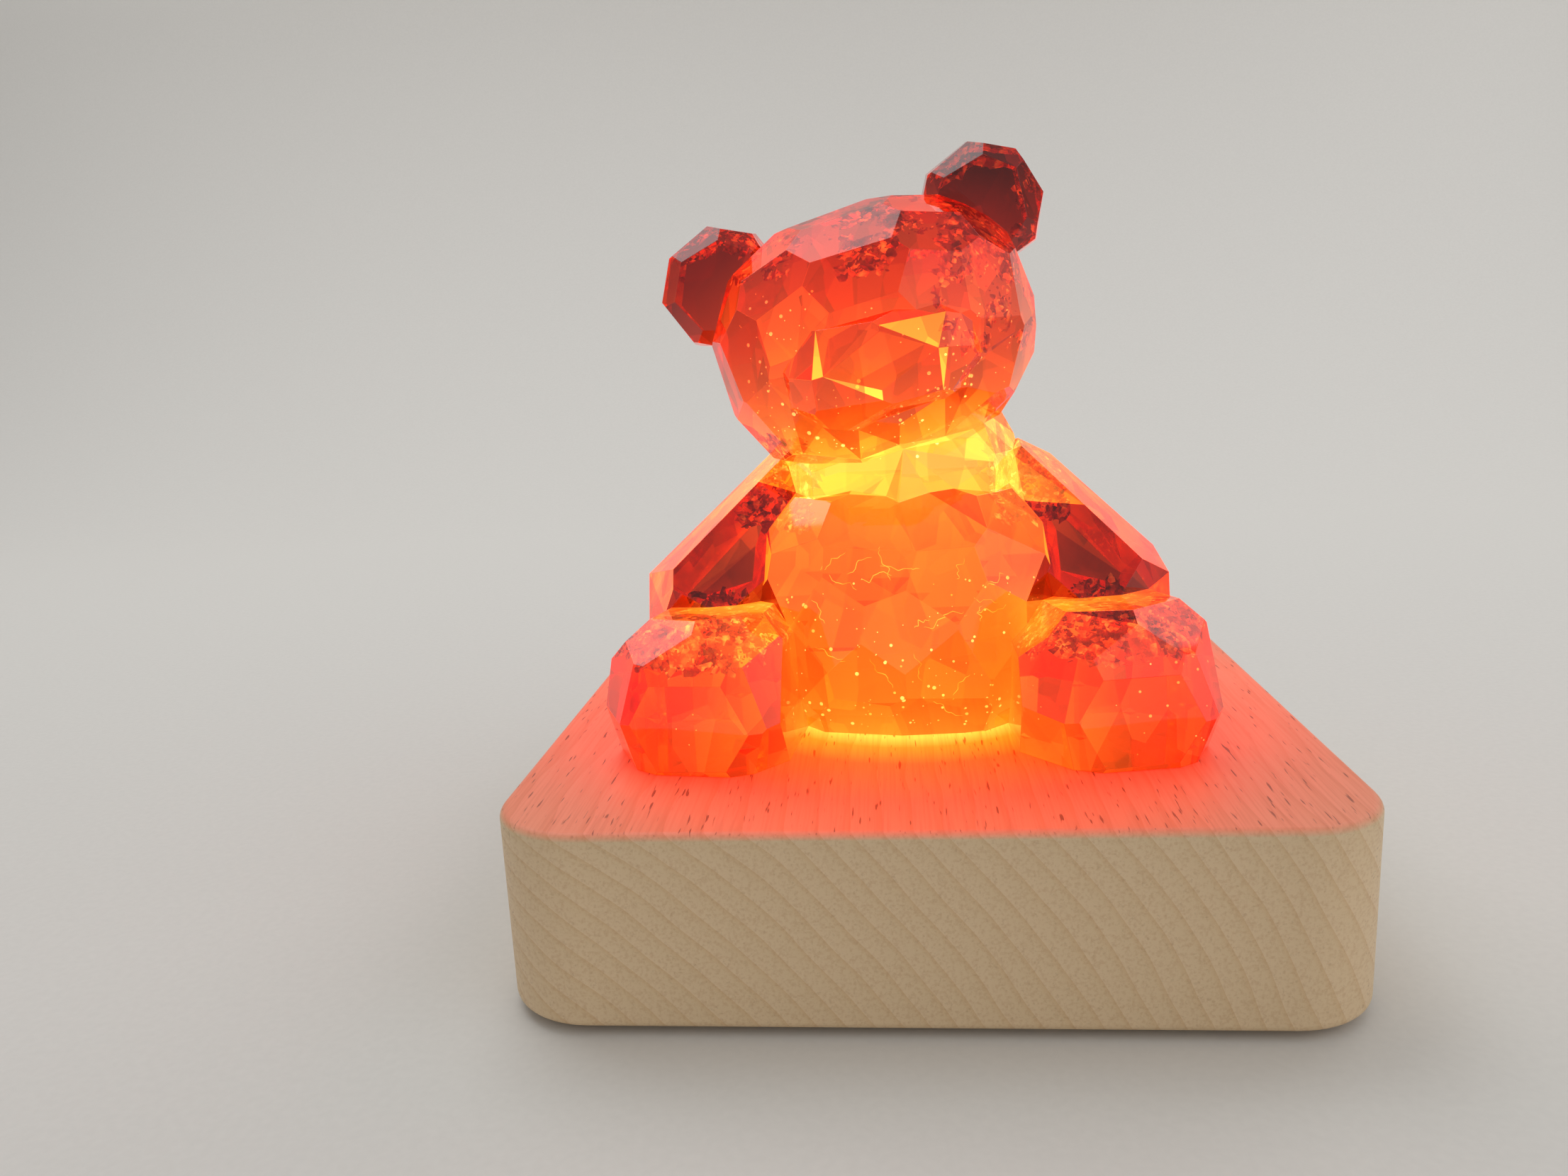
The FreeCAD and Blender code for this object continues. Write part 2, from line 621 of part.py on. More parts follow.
def make_control_board_screws():
    screws = []
    for index, sign in enumerate(("-", ""), start=1):
        x = f"{sign}size.control_screw_spacing / 2"
        head_back = f"{control_face} - size.screw_head_height"
        head = cylinder(f"control_screw_head_{index}", "size.screw_head", "size.screw_head_height",
                        x, head_back, control_z, along_y)
        shank = cylinder(f"control_screw_shank_{index}", "size.screw_shank", "size.screw_length",
                         x, control_face, control_z, along_y)
        slot = box_off_wall(f"control_screw_slot_{index}", "size.screw_head", "size.screw_head_height / 2",
                            "size.screw_slot", x, head_back, control_z)
        screw = fuse(f"control_screw_{index}", [head, shank])
        screws.append(cut(f"control_screw_slotted_{index}", screw, slot))
    keep(group("control_screw_set", screws), "control_board_screws")


def make_socket():
    body = new_body("socket_can")
    outline = sketch_on(body, "shell_outline", "XZ_Plane", x="-size.socket_offset", y=control_z,
                        z=f"-{wall_inside}")
    draw_round_rectangle(outline, "size.socket_width", "size.socket_height", "size.socket_round")
    pad(body, outline, "size.socket_length", against_normal=True)
    hollow = sketch_on(body, "shell_hollow", "XZ_Plane", x="-size.socket_offset", y=control_z,
                       z=f"-{wall_inside}")
    draw_round_rectangle(hollow, "size.socket_width - 2 * size.socket_wall",
                         "size.socket_height - 2 * size.socket_wall", "size.socket_round - size.socket_wall")
    pocket(body, hollow, "size.socket_length")
    keep(body, "socket_shell")

    insulator = new_body("socket_core")
    root = sketch_on(insulator, "tongue_root_outline", "XZ_Plane", x="-size.socket_offset", y=control_z,
                     z=f"-{wall_inside}")
    draw_round_rectangle(root, "size.socket_width - 2 * size.socket_wall",
                         "size.socket_height - 2 * size.socket_wall", "size.socket_round - size.socket_wall")
    pad(insulator, root, "size.tongue_root", against_normal=True)
    tongue = sketch_on(insulator, "tongue_outline", "XZ_Plane", x="-size.socket_offset", y=control_z,
                       z=f"-{wall_inside}")
    draw_round_rectangle(tongue, "size.tongue_width", "size.tongue_thickness", "size.tongue_round")
    pad(insulator, tongue, "size.tongue_root + size.tongue_length", against_normal=True)
    keep(insulator, "socket_tongue")

    contacts = []
    for index in range(-2, 3):
        x = f"-size.socket_offset + {index} * size.contact_pitch"
        contacts.append(box_off_wall(f"contact_{index + 3}", "size.contact_width", "size.contact_length",
                                     "size.contact_height", x, f"{wall_inside} + size.tongue_root",
                                     f"{control_z} + (size.tongue_thickness + size.contact_height) / 2"))
    keep(group("contact_set", contacts), "socket_contacts")


# The plunger's flange rests against the inside of the housing's front wall
flange_back = (f"({wall_inside} + size.switch_depth - size.switch_wall - size.flange_gap"
               " - size.flange_height)")
spring_foot = f"({wall_inside} + size.switch_wall + size.spring_gap)"
cap_back = f"({wall_inside} + size.switch_depth + size.button_travel + size.stop_gap)"
cap_front = "(size.base_depth / 2 - size.dish_depth + size.cap_proud)"


def make_switch_housing():
    shell = box_off_wall("housing_blank", "size.switch_side", "size.switch_depth", "size.switch_side",
                         "size.button_offset", wall_inside, control_z)
    room_side = "size.switch_side - 2 * size.switch_wall"
    room = box_off_wall("housing_room", room_side, "size.switch_depth - 2 * size.switch_wall", room_side,
                        "size.button_offset", f"{wall_inside} + size.switch_wall", control_z)
    hole = cylinder("housing_hole", "size.stem_diameter + 2 * size.stem_clearance", "size.switch_depth",
                    "size.button_offset", f"{wall_inside} + size.switch_depth / 2", control_z, along_y)
    keep(cut("housing", shell, fuse("housing_hollow", [room, hole])), "switch_housing")


def make_plunger():
    flange = box_off_wall("plunger_flange", "size.flange_side", "size.flange_height", "size.flange_side",
                          "size.button_offset", flange_back, control_z)
    stem = cylinder("plunger_stem", "size.stem_diameter", f"{cap_back} + size.stem_grip - {flange_back}",
                    "size.button_offset", flange_back, control_z, along_y)
    keep(fuse("plunger", [flange, stem]), "switch_plunger")


def make_button_cap():
    straight = f"{cap_front} - {cap_back} - size.cap_bevel"
    barrel = cylinder("cap_barrel", "size.cap_diameter", straight,
                      "size.button_offset", cap_back, control_z, along_y)
    crown = cone("cap_crown", "size.cap_diameter", "size.cap_diameter - 2 * size.cap_bevel",
                 "size.cap_bevel", "size.button_offset", f"{cap_front} - size.cap_bevel", control_z, along_y)
    socket = cylinder("cap_socket", "size.stem_diameter + 2 * size.stem_fit",
                      "size.stem_grip + size.stem_fit", "size.button_offset", cap_back, control_z, along_y)
    keep(cut("cap", fuse("cap_blank", [barrel, crown]), socket), "button_cap")


def arc_between(start, tangent, end):
    # Circular arc that leaves start along the tangent and ends at end
    chord = end - start
    half_turn = tangent.getAngle(chord)
    middle = (start + end) * 0.5
    inward = (tangent - chord * (tangent.dot(chord) / chord.dot(chord))).normalize()
    bulge = chord.Length / 2 * math.tan(half_turn / 2)
    return Part.Arc(start, middle + inward * bulge, end).toShape()


def biarc(start, start_tangent, end, end_tangent):
    # Two tangent arcs that leave start and reach end along the given unit directions
    gap = end - start
    both = start_tangent + end_tangent
    bend = 2 * (1 - start_tangent.dot(end_tangent))
    along = gap.dot(both)
    reach = (-along + math.sqrt(along * along + bend * gap.dot(gap))) / bend
    joint = (start + start_tangent * reach + end - end_tangent * reach) * 0.5
    joint_tangent = (end - end_tangent * reach - start - start_tangent * reach).normalize()
    return [arc_between(start, start_tangent, joint), arc_between(joint, joint_tangent, end)]


def make_switch_spring():
    # A helix about the plunger, one biarc to each quarter turn
    turns = int(size_of("spring_turns"))
    wire = size_of("spring_wire")
    radius = size_of("spring_diameter") / 2
    room = (size_of("switch_depth") - 2 * size_of("switch_wall") - size_of("flange_gap")
            - size_of("flange_height") - 2 * size_of("spring_gap"))
    rise = room - wire
    quarters = 4 * turns
    slope = rise / (2 * math.pi * radius * turns)
    points = []
    tangents = []
    for step in range(quarters + 1):
        angle = step * math.pi / 2
        height = rise * step / quarters + wire / 2
        points.append(Vector(radius * math.cos(angle), radius * math.sin(angle), height))
        tangents.append(Vector(-math.sin(angle), math.cos(angle), slope).normalize())
    edges = []
    for step in range(quarters):
        edges += biarc(points[step], tangents[step], points[step + 1], tangents[step + 1])
    path = Part.Wire(edges)
    section = Part.Wire([Part.makeCircle(wire / 2, points[0], tangents[0])])
    feature = doc.addObject("Part::Feature", "spring")
    feature.Shape = path.makePipeShell([section], True, False)
    place(feature, "size.button_offset", spring_foot, control_z, along_y)
    print(f"switch spring: gap between turns {rise / turns - wire:.2f} mm, "
          f"volume {feature.Shape.Volume:.3f} of {math.pi * wire * wire / 4 * path.Length:.3f} cubic mm")
    keep(feature, "switch_spring")


def make_driver_chip():
    keep(box_off_wall("chip", "size.chip_length", "size.chip_height", "size.chip_width", "0",
                      f"{control_face} - size.chip_height", f"{control_z} + size.chip_rise"), "driver_chip")


def make_leads():
    # From the control board straight forward, round one bend and up to the round board
    bend_turn = FreeCAD.Rotation(Vector(0, 0, -1), Vector(0, -1, 0), Vector(-1, 0, 0), "XYZ")
    bend_y = "(size.lead_reach + size.lead_bend)"
    low_z = f"({control_z} - size.lead_drop)"
    bend_z = f"({low_z} + size.lead_bend)"
    for label, sign in (("supply_lead", "-"), ("return_lead", "")):
        x = f"{sign}size.lead_spacing / 2"
        level = cylinder(f"{label}_level", "size.lead_diameter", f"{control_face} - {bend_y}",
                         x, bend_y, low_z, along_y)
        radii = {"Radius1": "size.lead_bend", "Radius2": "size.lead_diameter / 2"}
        bend = primitive("Torus", f"{label}_bend", radii, x, bend_y, bend_z, bend_turn)
        bend.Angle3 = 90
        upright = cylinder(f"{label}_upright", "size.lead_diameter", f"{led_board_under} - {bend_z}",
                           x, "size.lead_reach", bend_z)
        keep(fuse(f"{label}_run", [level, bend, upright]), label)


# Bear: overlapping faceted forms, fused and cut flat underneath

def facet_normals(rows):
    # Each row is an angle from the form's own axis, a number of flats round it and a first turn, in degrees.
    # The flats wander a little, as on a hand-cut master.
    wander = size_of("facet_wander")
    normals = []
    for polar_angle, flats, first in rows:
        count = round(flats)
        for step in range(count):
            number = len(normals)
            tilt = polar_angle
            turn = first + 360 * step / count
            if count > 1:
                tilt += wander * math.sin(2.4 * number)
                turn += wander * math.cos(3.7 * number)
            tilt, turn = math.radians(tilt), math.radians(turn)
            across = math.sin(tilt)
            normals.append(Vector(across * math.cos(turn), across * math.sin(turn), math.cos(tilt)))
    return normals


def cut_form(half, fullness, rows, by_place):
    # A block from which each flat is cut square to its normal, where it touches a rounded form with these
    # half sizes. A fullness of 2 is an ellipsoid, and a higher one is boxier. The rows give the normals or,
    # by place, the points where the flats touch, which spreads them evenly over a boxy form.
    power = fullness / (fullness - 1)
    reach = 2 * max(half)
    span = 6 * reach
    form = Part.makeBox(2 * reach, 2 * reach, 2 * reach, Vector(-reach, -reach, -reach))
    for normal in facet_normals(rows):
        if by_place:
            steep = [math.copysign(abs(part) ** (fullness - 1), part) for part in normal]
            normal = Vector(*[part / extent for part, extent in zip(steep, half)]).normalize()
        shares = [abs(part) * extent for part, extent in zip(normal, half)]
        distance = sum(share ** power for share in shares) ** (1 / power)
        waste = Part.makeBox(span, span, span, Vector(-span / 2, -span / 2, 0))
        waste.Placement = FreeCAD.Placement(normal * distance, FreeCAD.Rotation(Vector(0, 0, 1), normal))
        form = form.cut(waste)
    return form


def bear_form(name, half, rows, centre, turn, by_place=False):
    fullness = size_of(name.split("_")[0] + "_fullness")
    feature = doc.addObject("Part::Feature", name)
    feature.Shape = cut_form(half, fullness, rows, by_place)
    feature.Placement = FreeCAD.Placement(centre, turn)
    return feature


# Rows of flats: angle from the form's axis, number, first turn
belly_rows = [(0, 1, 0), (30, 8, 0), (52, 12, 15), (70, 14, 0), (87, 14, 13), (104, 14, 0), (122, 12, 12),
              (142, 8, 20), (180, 1, 0)]
chest_rows = [(0, 1, 0), (62, 8, 22), (86, 9, 10), (180, 1, 0)]
head_rows = [(0, 1, 0), (26, 6, 30), (46, 9, 10), (66, 12, 0), (86, 13, 14), (106, 12, 0), (128, 9, 20),
             (152, 5, 0), (180, 1, 0)]
muzzle_rows = [(0, 1, 0), (26, 2, 60), (26, 2, 112), (46, 6, 15), (68, 8, 0), (92, 8, 22), (180, 1, 0)]
ear_rows = [(0, 1, 0), (46, 7, 0), (84, 8, 20), (130, 7, 0), (180, 1, 0)]
arm_rows = [(0, 1, 0), (48, 5, 0), (88, 6, 30), (130, 5, 0), (180, 1, 0)]
leg_rows = [(0, 1, 0), (30, 6, 30), (56, 8, 22), (94, 8, 0), (134, 6, 0), (180, 1, 0)]


def make_bear():
    facing = FreeCAD.Rotation(Vector(1, 0, 0), 90)
    floor = size_of("foot_height") + size_of("base_height")
    middle = Vector(-size_of("bear_left"), -size_of("bear_forward"), floor)
    forms = []

    belly = [size_of(name) / 2 for name in ("belly_width", "belly_depth", "belly_height")]
    belly_middle = middle + Vector(0, 0, size_of("belly_rise"))
    forms.append(bear_form("belly", belly, belly_rows, belly_middle, FreeCAD.Rotation(), True))

    chest = [size_of(name) / 2 for name in ("chest_width", "chest_depth", "chest_height")]
    chest_middle = belly_middle + Vector(0, 0, size_of("chest_lift"))
    forms.append(bear_form("chest", chest, chest_rows, chest_middle, FreeCAD.Rotation()))

    # The head leans about the line of sight, and carries the muzzle and ears with it
    head = [size_of(name) / 2 for name in ("head_width", "head_height", "head_depth")]
    head_lift = (size_of("chest_height") + size_of("head_height")) / 2 - size_of("neck_overlap")
    head_middle = chest_middle + Vector(-size_of("head_left"), -size_of("head_forward"), head_lift)
    lean = FreeCAD.Rotation(Vector(0, -1, 0), size_of("head_tilt"))
    forms.append(bear_form("head", head, head_rows, head_middle, lean.multiply(facing), True))

    muzzle = [size_of(name) / 2 for name in ("muzzle_width", "muzzle_height", "muzzle_depth")]
    muzzle_step = Vector(0, size_of("muzzle_sink") - size_of("head_depth") / 2, -size_of("muzzle_drop"))
    forms.append(bear_form("muzzle", muzzle, muzzle_rows, head_middle + lean.multVec(muzzle_step),
                           lean.multiply(facing)))

    ear = [size_of(name) / 2 for name in ("ear_width", "ear_width", "ear_thickness")]
    arm = [size_of(name) / 2 for name in ("arm_width", "arm_depth", "arm_length")]
    leg = [size_of(name) / 2 for name in ("leg_width", "leg_height", "leg_length")]
    leg[1] += size_of("form_sink") / 2
    for side, sign in (("right", -1), ("left", 1)):
        ear_step = Vector(sign * size_of("ear_spread"), 0, size_of("ear_rise"))
        forms.append(bear_form(f"ear_{side}", ear, ear_rows, head_middle + lean.multVec(ear_step),
                               lean.multiply(facing)))

        swing = FreeCAD.Rotation(Vector(0, 1, 0), -sign * size_of("arm_swing"))
        reach = FreeCAD.Rotation(Vector(1, 0, 0), -size_of("arm_reach"))
        arm_turn = reach.multiply(swing)
        down = arm_turn.multVec(Vector(0, 0, -1))
        shoulder = chest_middle + Vector(sign * (size_of("chest_width") / 2 - size_of("shoulder_inset")),
                                         size_of("shoulder_back"), size_of("shoulder_lift"))
        arm_middle = shoulder + down * (size_of("arm_length") / 2 - size_of("arm_root"))
        forms.append(bear_form(f"arm_{side}", arm, arm_rows, arm_middle, arm_turn))

        splay = FreeCAD.Rotation(Vector(0, 0, 1), sign * size_of("leg_splay"))
        hip = middle + Vector(sign * size_of("leg_spread"), size_of("leg_back"),
                              (size_of("leg_height") - size_of("form_sink")) / 2)
        leg_middle = hip + splay.multVec(Vector(0, -1, 0)) * (size_of("leg_length") / 2)
        forms.append(bear_form(f"leg_{side}", leg, leg_rows, leg_middle, splay.multiply(facing)))

    below = box("bear_trim", "2 * size.base_width", "2 * size.base_depth", "size.base_height", "0", "0",
                block_foot)
    keep(cut("bear", fuse("bear_forms", forms), below), "bear_casting")


make_base_block()
make_bottom_cover()
make_cover_screws()
make_rubber_feet()
make_light_window()
make_reflector_ring()
make_led_board()
make_lamps()
make_resistors()
make_led_board_screws()
make_control_board()
make_control_board_screws()
make_socket()
make_switch_housing()
make_plunger()
make_button_cap()
make_switch_spring()
make_driver_chip()
make_leads()
make_bear()
doc.recompute()


# Checks: nothing failed, every pocket removed material, and every sub-part is a valid shape

for feature in doc.Objects:
    if "Invalid" in feature.State or "Error" in feature.State:
        raise RuntimeError(f"{feature.Label} failed: {feature.State}")
    if feature.TypeId == "PartDesign::Pocket":
        removed = feature.BaseFeature.Shape.Volume - feature.Shape.Volume
        if removed < 0.001:
            raise RuntimeError(f"{feature.Label} cuts nothing")
for feature in sub_parts:
    if feature.Shape.isNull() or not feature.Shape.isValid():
        raise RuntimeError(f"{feature.Label} has no valid shape")

os.makedirs("parts", exist_ok=True)
for feature in sub_parts:
    feature.Shape.exportStep(f"parts/{feature.Label}.step")
    print(f"{feature.Label}: {len(feature.Shape.Solids)} solids, {feature.Shape.Volume:.1f} cubic mm")
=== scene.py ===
import math

import bmesh
import bpy
import numpy as np
from mathutils import Matrix, Vector
from mathutils.bvhtree import BVHTree


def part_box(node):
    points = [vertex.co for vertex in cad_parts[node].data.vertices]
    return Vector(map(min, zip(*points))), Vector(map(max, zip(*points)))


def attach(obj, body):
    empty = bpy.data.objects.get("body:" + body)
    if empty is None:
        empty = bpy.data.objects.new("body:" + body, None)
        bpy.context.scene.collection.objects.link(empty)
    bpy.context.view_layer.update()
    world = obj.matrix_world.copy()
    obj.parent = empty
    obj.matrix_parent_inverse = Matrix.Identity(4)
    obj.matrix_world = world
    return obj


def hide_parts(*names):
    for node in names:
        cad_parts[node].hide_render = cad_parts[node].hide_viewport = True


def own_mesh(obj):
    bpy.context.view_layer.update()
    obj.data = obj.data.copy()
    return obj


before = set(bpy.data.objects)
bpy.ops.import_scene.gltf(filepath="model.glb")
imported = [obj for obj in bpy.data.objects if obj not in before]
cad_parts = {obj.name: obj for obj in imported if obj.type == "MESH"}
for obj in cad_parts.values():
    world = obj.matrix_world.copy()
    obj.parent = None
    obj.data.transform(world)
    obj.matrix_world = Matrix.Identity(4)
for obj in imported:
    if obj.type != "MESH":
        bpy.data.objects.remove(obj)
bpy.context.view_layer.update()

mm = 0.001
weld = 1e-6      # points nearer than this, in metres, are one
inf = math.inf   # the open end of a range
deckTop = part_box("base_block")[1].z


def linear(hexColour):
    # sRGB hex to linear RGBA
    parts = np.array([int(hexColour[i:i + 2], 16) for i in (1, 3, 5)]) / 255
    values = np.where(parts <= 0.04045, parts / 12.92, ((parts + 0.055) / 1.055) ** 2.4)
    return (*map(float, values), 1.0)


def addNode(tree, kind, inputs=None, ramp=None, **settings):
    # One node: its properties, its inputs and its ramp's stops
    node = tree.nodes.new(kind)
    for name, value in settings.items():
        setattr(node, name, value)
    for name, value in (inputs or {}).items():
        if isinstance(value, bpy.types.NodeSocket):
            tree.links.new(value, node.inputs[name])
        else:
            node.inputs[name].default_value = value
    if ramp:
        stops = node.color_ramp.elements
        stops.remove(stops[1])
        stops[0].position = ramp[0][0]
        for place, colour in ramp[1:]:
            stops.new(place)
        for stop, (place, colour) in zip(stops, ramp):
            stop.color = linear(colour)
    return node


def newMaterial(name, **values):
    # A material with one shader, its even values set on the shader's own sockets
    material = bpy.data.materials.new(name)
    material.use_nodes = True
    tree = material.node_tree
    shader = tree.nodes["Principled BSDF"]
    for socket, value in values.items():
        shader.inputs[socket.replace("_", " ")].default_value = value
    coords = addNode(tree, "ShaderNodeTexCoord").outputs["Object"]
    return material, tree, shader, coords


def dress(material, *nodes):
    for node in nodes:
        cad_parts[node].data.materials[0] = material


def newPiece(name, mesh, material, body):
    piece = bpy.data.objects.new(name, mesh)
    bpy.context.scene.collection.objects.link(piece)
    mesh.materials.clear()
    mesh.materials.append(material)
    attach(piece, body)
    return piece


def gridFaces(rows, columns, copies=1):
    # Quads of a grid that closes round its columns, repeated for a number of copies
    row, column = np.meshgrid(np.arange(rows - 1), np.arange(columns), indexing="ij")
    across = (column + 1) % columns
    one = np.stack([row * columns + column, row * columns + across,
                    (row + 1) * columns + across, (row + 1) * columns + column], -1).reshape(-1, 4)
    return (one[None] + (np.arange(copies) * rows * columns)[:, None, None]).reshape(-1, 4)


# Camera where the photograph was taken from, worked out from the base's edges
view = {"place": (-2.99, -164.85, 76.05), "yaw": -5.53, "pitch": -11.99, "roll": -2.77,
        "focalPixels": 1625.1, "framePixels": 2212, "sensor": 36, "nearest": 0.005}


def makeCamera():
    yaw, pitch, roll = (math.radians(view[key]) for key in ("yaw", "pitch", "roll"))
    ahead = Vector((math.sin(yaw) * math.cos(pitch), math.cos(yaw) * math.cos(pitch),
                    math.sin(pitch)))
    level = ahead.cross(Vector((0, 0, 1))).normalized()
    right = level * math.cos(roll) + level.cross(ahead) * math.sin(roll)
    up = right.cross(ahead)
    turn = Matrix((right, up, -ahead)).transposed().to_4x4()
    data = bpy.data.cameras.new("camera")
    data.sensor_width = view["sensor"]
    data.lens = view["sensor"] * view["focalPixels"] / view["framePixels"]
    data.clip_start = view["nearest"]
    camera = bpy.data.objects.new("camera", data)
    bpy.context.scene.collection.objects.link(camera)
    camera.matrix_world = Matrix.Translation(Vector(view["place"]) * mm) @ turn
    bpy.context.scene.camera = camera


makeCamera()
bpy.context.scene.view_settings.view_transform = "Standard"
print("camera placed")


# Studio, in metres: a pale sweep, a soft key, a fill and a rim
studio = {"paper": "#e2e0dc", "paperGrain": "#dfddd9", "front": -3.0, "bend": 0.3, "radius": 0.3,
          "wallTop": 1.2, "halfWidth": 3.0, "bendSteps": 24, "drop": 0.02 * mm,
          "world": "#f2f1ef", "worldLevel": 0.45, "seenLevel": 0.78, "aim": (0, 0, 0.045),
          # Place, size and power
          "lamps": [((-0.3, 0.36, 0.8), 0.7, 3.0), ((0.6, -0.3, 0.35), 0.9, 1.3),
                    ((0.45, 0.42, 0.5), 0.4, 0.6)]}


def makeSweep():
    # A straight floor that turns up through a quarter circle: a profile carried along X
    bend, radius = studio["bend"], studio["radius"]
    turn = np.linspace(0, math.pi / 2, studio["bendSteps"])
    depth = np.concatenate([[studio["front"]], bend + radius * np.sin(turn), [bend + radius]])
    height = np.concatenate([[0.0], radius - radius * np.cos(turn), [studio["wallTop"]]])
    height -= studio["drop"]
    side = np.array([-studio["halfWidth"], studio["halfWidth"]])
    points = np.stack(np.broadcast_arrays(side[:, None], depth[None], height[None]), -1)
    count = len(depth)
    step = np.arange(count - 1)
    faces = np.stack([step, step + count, step + count + 1, step + 1], -1)
    mesh = bpy.data.meshes.new("sweep")
    mesh.from_pydata(points.reshape(-1, 3).tolist(), [], faces.tolist())
    mesh.shade_smooth()
    material, tree, shader, coords = newMaterial("seamlessPaper", Roughness=0.8)
    grain = addNode(tree, "ShaderNodeTexNoise", {"Vector": coords, "Scale": 900.0})
    shade = addNode(tree, "ShaderNodeValToRGB", {"Fac": grain.outputs["Fac"]},
                    ramp=[(0.3, studio["paperGrain"]), (0.7, studio["paper"])])
    tree.links.new(shade.outputs["Color"], shader.inputs["Base Color"])
    sweep = bpy.data.objects.new("sweep", mesh)
    mesh.materials.append(material)
    bpy.context.scene.collection.objects.link(sweep)


def lightStudio():
    world = bpy.data.worlds.new("studio")
    bpy.context.scene.world = world
    world.use_nodes = True
    background = world.node_tree.nodes["Background"]
    background.inputs["Color"].default_value = linear(studio["world"])
    # Past the sweep's ends the camera sees a paler room than the one that lights the lamp
    seen = addNode(world.node_tree, "ShaderNodeLightPath").outputs["Is Camera Ray"]
    strength = addNode(world.node_tree, "ShaderNodeMapRange",
                       {"Value": seen, "To Min": studio["worldLevel"],
                        "To Max": studio["seenLevel"]})
    world.node_tree.links.new(strength.outputs["Result"], background.inputs["Strength"])
    for number, (place, size, power) in enumerate(studio["lamps"], start=1):
        lamp = bpy.data.lights.new(f"softbox{number}", "AREA")
        lamp.size = size
        lamp.energy = power
        holder = bpy.data.objects.new(f"softbox{number}", lamp)
        bpy.context.scene.collection.objects.link(holder)
        holder.location = place
        aim = Vector(studio["aim"]) - Vector(place)
        holder.rotation_euler = aim.to_track_quat("-Z", "Y").to_euler()


makeSweep()
lightStudio()
print("studio lit")


# Beech, planed, sanded and oiled: straight fibres from front to back, so the top shows short
# dark pore flecks and the front and back show faint growth rings
beech = {"pale": "#e6caa4", "early": "#e2c69e", "late": "#dcbb90", "dark": "#c0946a",
         "fleck": "#83573a", "fibre": 0.35, "fibreStretch": 40, "fleckLength": 4.0,
         "fleckWidth": 0.4, "ring": 2.6, "pith": (-95.0, -62.0),
         "waveUnit": 0.314}   # how far apart the bands of a wave texture are at a scale of 1
# Light that the lit bear throws on the deck round it, from its far edge to the belly's foot
deckGlow = {"middle": (-1.4, -1.5), "start": 18.5, "end": 72.0, "below": (-0.8, -0.05),
            "level": 1.9, "tint": "#f65c3c",
            "ramp": [(0.0, "#2a0401"), (0.3, "#6e1004"), (0.6, "#b02008"), (0.82, "#f0500e"),
                     (0.93, "#ff9420"), (1.0, "#ffe060")]}


def beechGrain(tree, shader, coords):
    # Growth rings stand round the pith, which lies along Y below the block
    pith = addNode(tree, "ShaderNodeMapping", {
        "Vector": coords, "Location": (-beech["pith"][0] * mm, 0, -beech["pith"][1] * mm)})
    bands = addNode(tree, "ShaderNodeTexWave", {
        "Vector": pith.outputs["Vector"], "Scale": beech["waveUnit"] / (beech["ring"] * mm),
        "Distortion": 4.5, "Detail": 2.0, "Detail Scale": 0.3},
        wave_type="RINGS", rings_direction="Y", wave_profile="SAW")
    wood = addNode(tree, "ShaderNodeValToRGB", {"Fac": bands.outputs["Fac"]},
                   ramp=[(0.0, beech["pale"]), (0.75, beech["early"]), (1.0, beech["late"])])
    fibre = 1 / (beech["fibre"] * mm)
    fine = addNode(tree, "ShaderNodeMapping", {"Vector": coords, "Scale": (
        fibre, 1 / (beech["fibre"] * beech["fibreStretch"] * mm), fibre)})
    fibres = addNode(tree, "ShaderNodeTexNoise",
                     {"Vector": fine.outputs["Vector"], "Scale": 1.0, "Detail": 2.0})
    fibreFade = addNode(tree, "ShaderNodeMapRange", {
        "Value": fibres.outputs["Fac"], "From Min": 0.45, "From Max": 0.75, "To Max": 0.35})
    grained = addNode(tree, "ShaderNodeMix", {
        "Factor": fibreFade.outputs["Result"], "A": wood.outputs["Color"],
        "B": linear(beech["dark"])}, data_type="RGBA")
    width = 1 / (beech["fleckWidth"] * mm)
    short = addNode(tree, "ShaderNodeMapping", {
        "Vector": coords, "Scale": (width, 1 / (beech["fleckLength"] * mm), width)})
    flecks = addNode(tree, "ShaderNodeTexNoise",
                     {"Vector": short.outputs["Vector"], "Scale": 1.0, "Detail": 1.0})
    # The pores' ends are finer than their length, so the end grain shows less of them
    normal = addNode(tree, "ShaderNodeNewGeometry").outputs["Normal"]
    facing = addNode(tree, "ShaderNodeSeparateXYZ", {"Vector": normal})
    endGrain = addNode(tree, "ShaderNodeMath", {0: facing.outputs["Y"]}, operation="ABSOLUTE")
    fleckDepth = addNode(tree, "ShaderNodeMapRange", {
        "Value": endGrain.outputs["Value"], "From Min": 0.3, "From Max": 0.8,
        "To Min": 0.8, "To Max": 0.12})
    fleckMask = addNode(tree, "ShaderNodeMapRange", {
        "Value": flecks.outputs["Fac"], "From Min": 0.66, "From Max": 0.74,
        "To Max": fleckDepth.outputs["Result"]})
    flecked = addNode(tree, "ShaderNodeMix", {
        "Factor": fleckMask.outputs["Result"], "A": grained.outputs["Result"],
        "B": linear(beech["fleck"])}, data_type="RGBA")
    relief = addNode(tree, "ShaderNodeMath", {
        0: fibres.outputs["Fac"], 1: fleckMask.outputs["Result"]}, operation="SUBTRACT")
    bump = addNode(tree, "ShaderNodeBump", {
        "Height": relief.outputs["Value"], "Strength": 0.25, "Distance": 0.05 * mm})
    tree.links.new(bump.outputs["Normal"], shader.inputs["Normal"])
    rough = addNode(tree, "ShaderNodeMapRange", {
        "Value": fibres.outputs["Fac"], "To Min": 0.42, "To Max": 0.6})
    tree.links.new(rough.outputs["Result"], shader.inputs["Roughness"])
    return flecked.outputs["Result"]


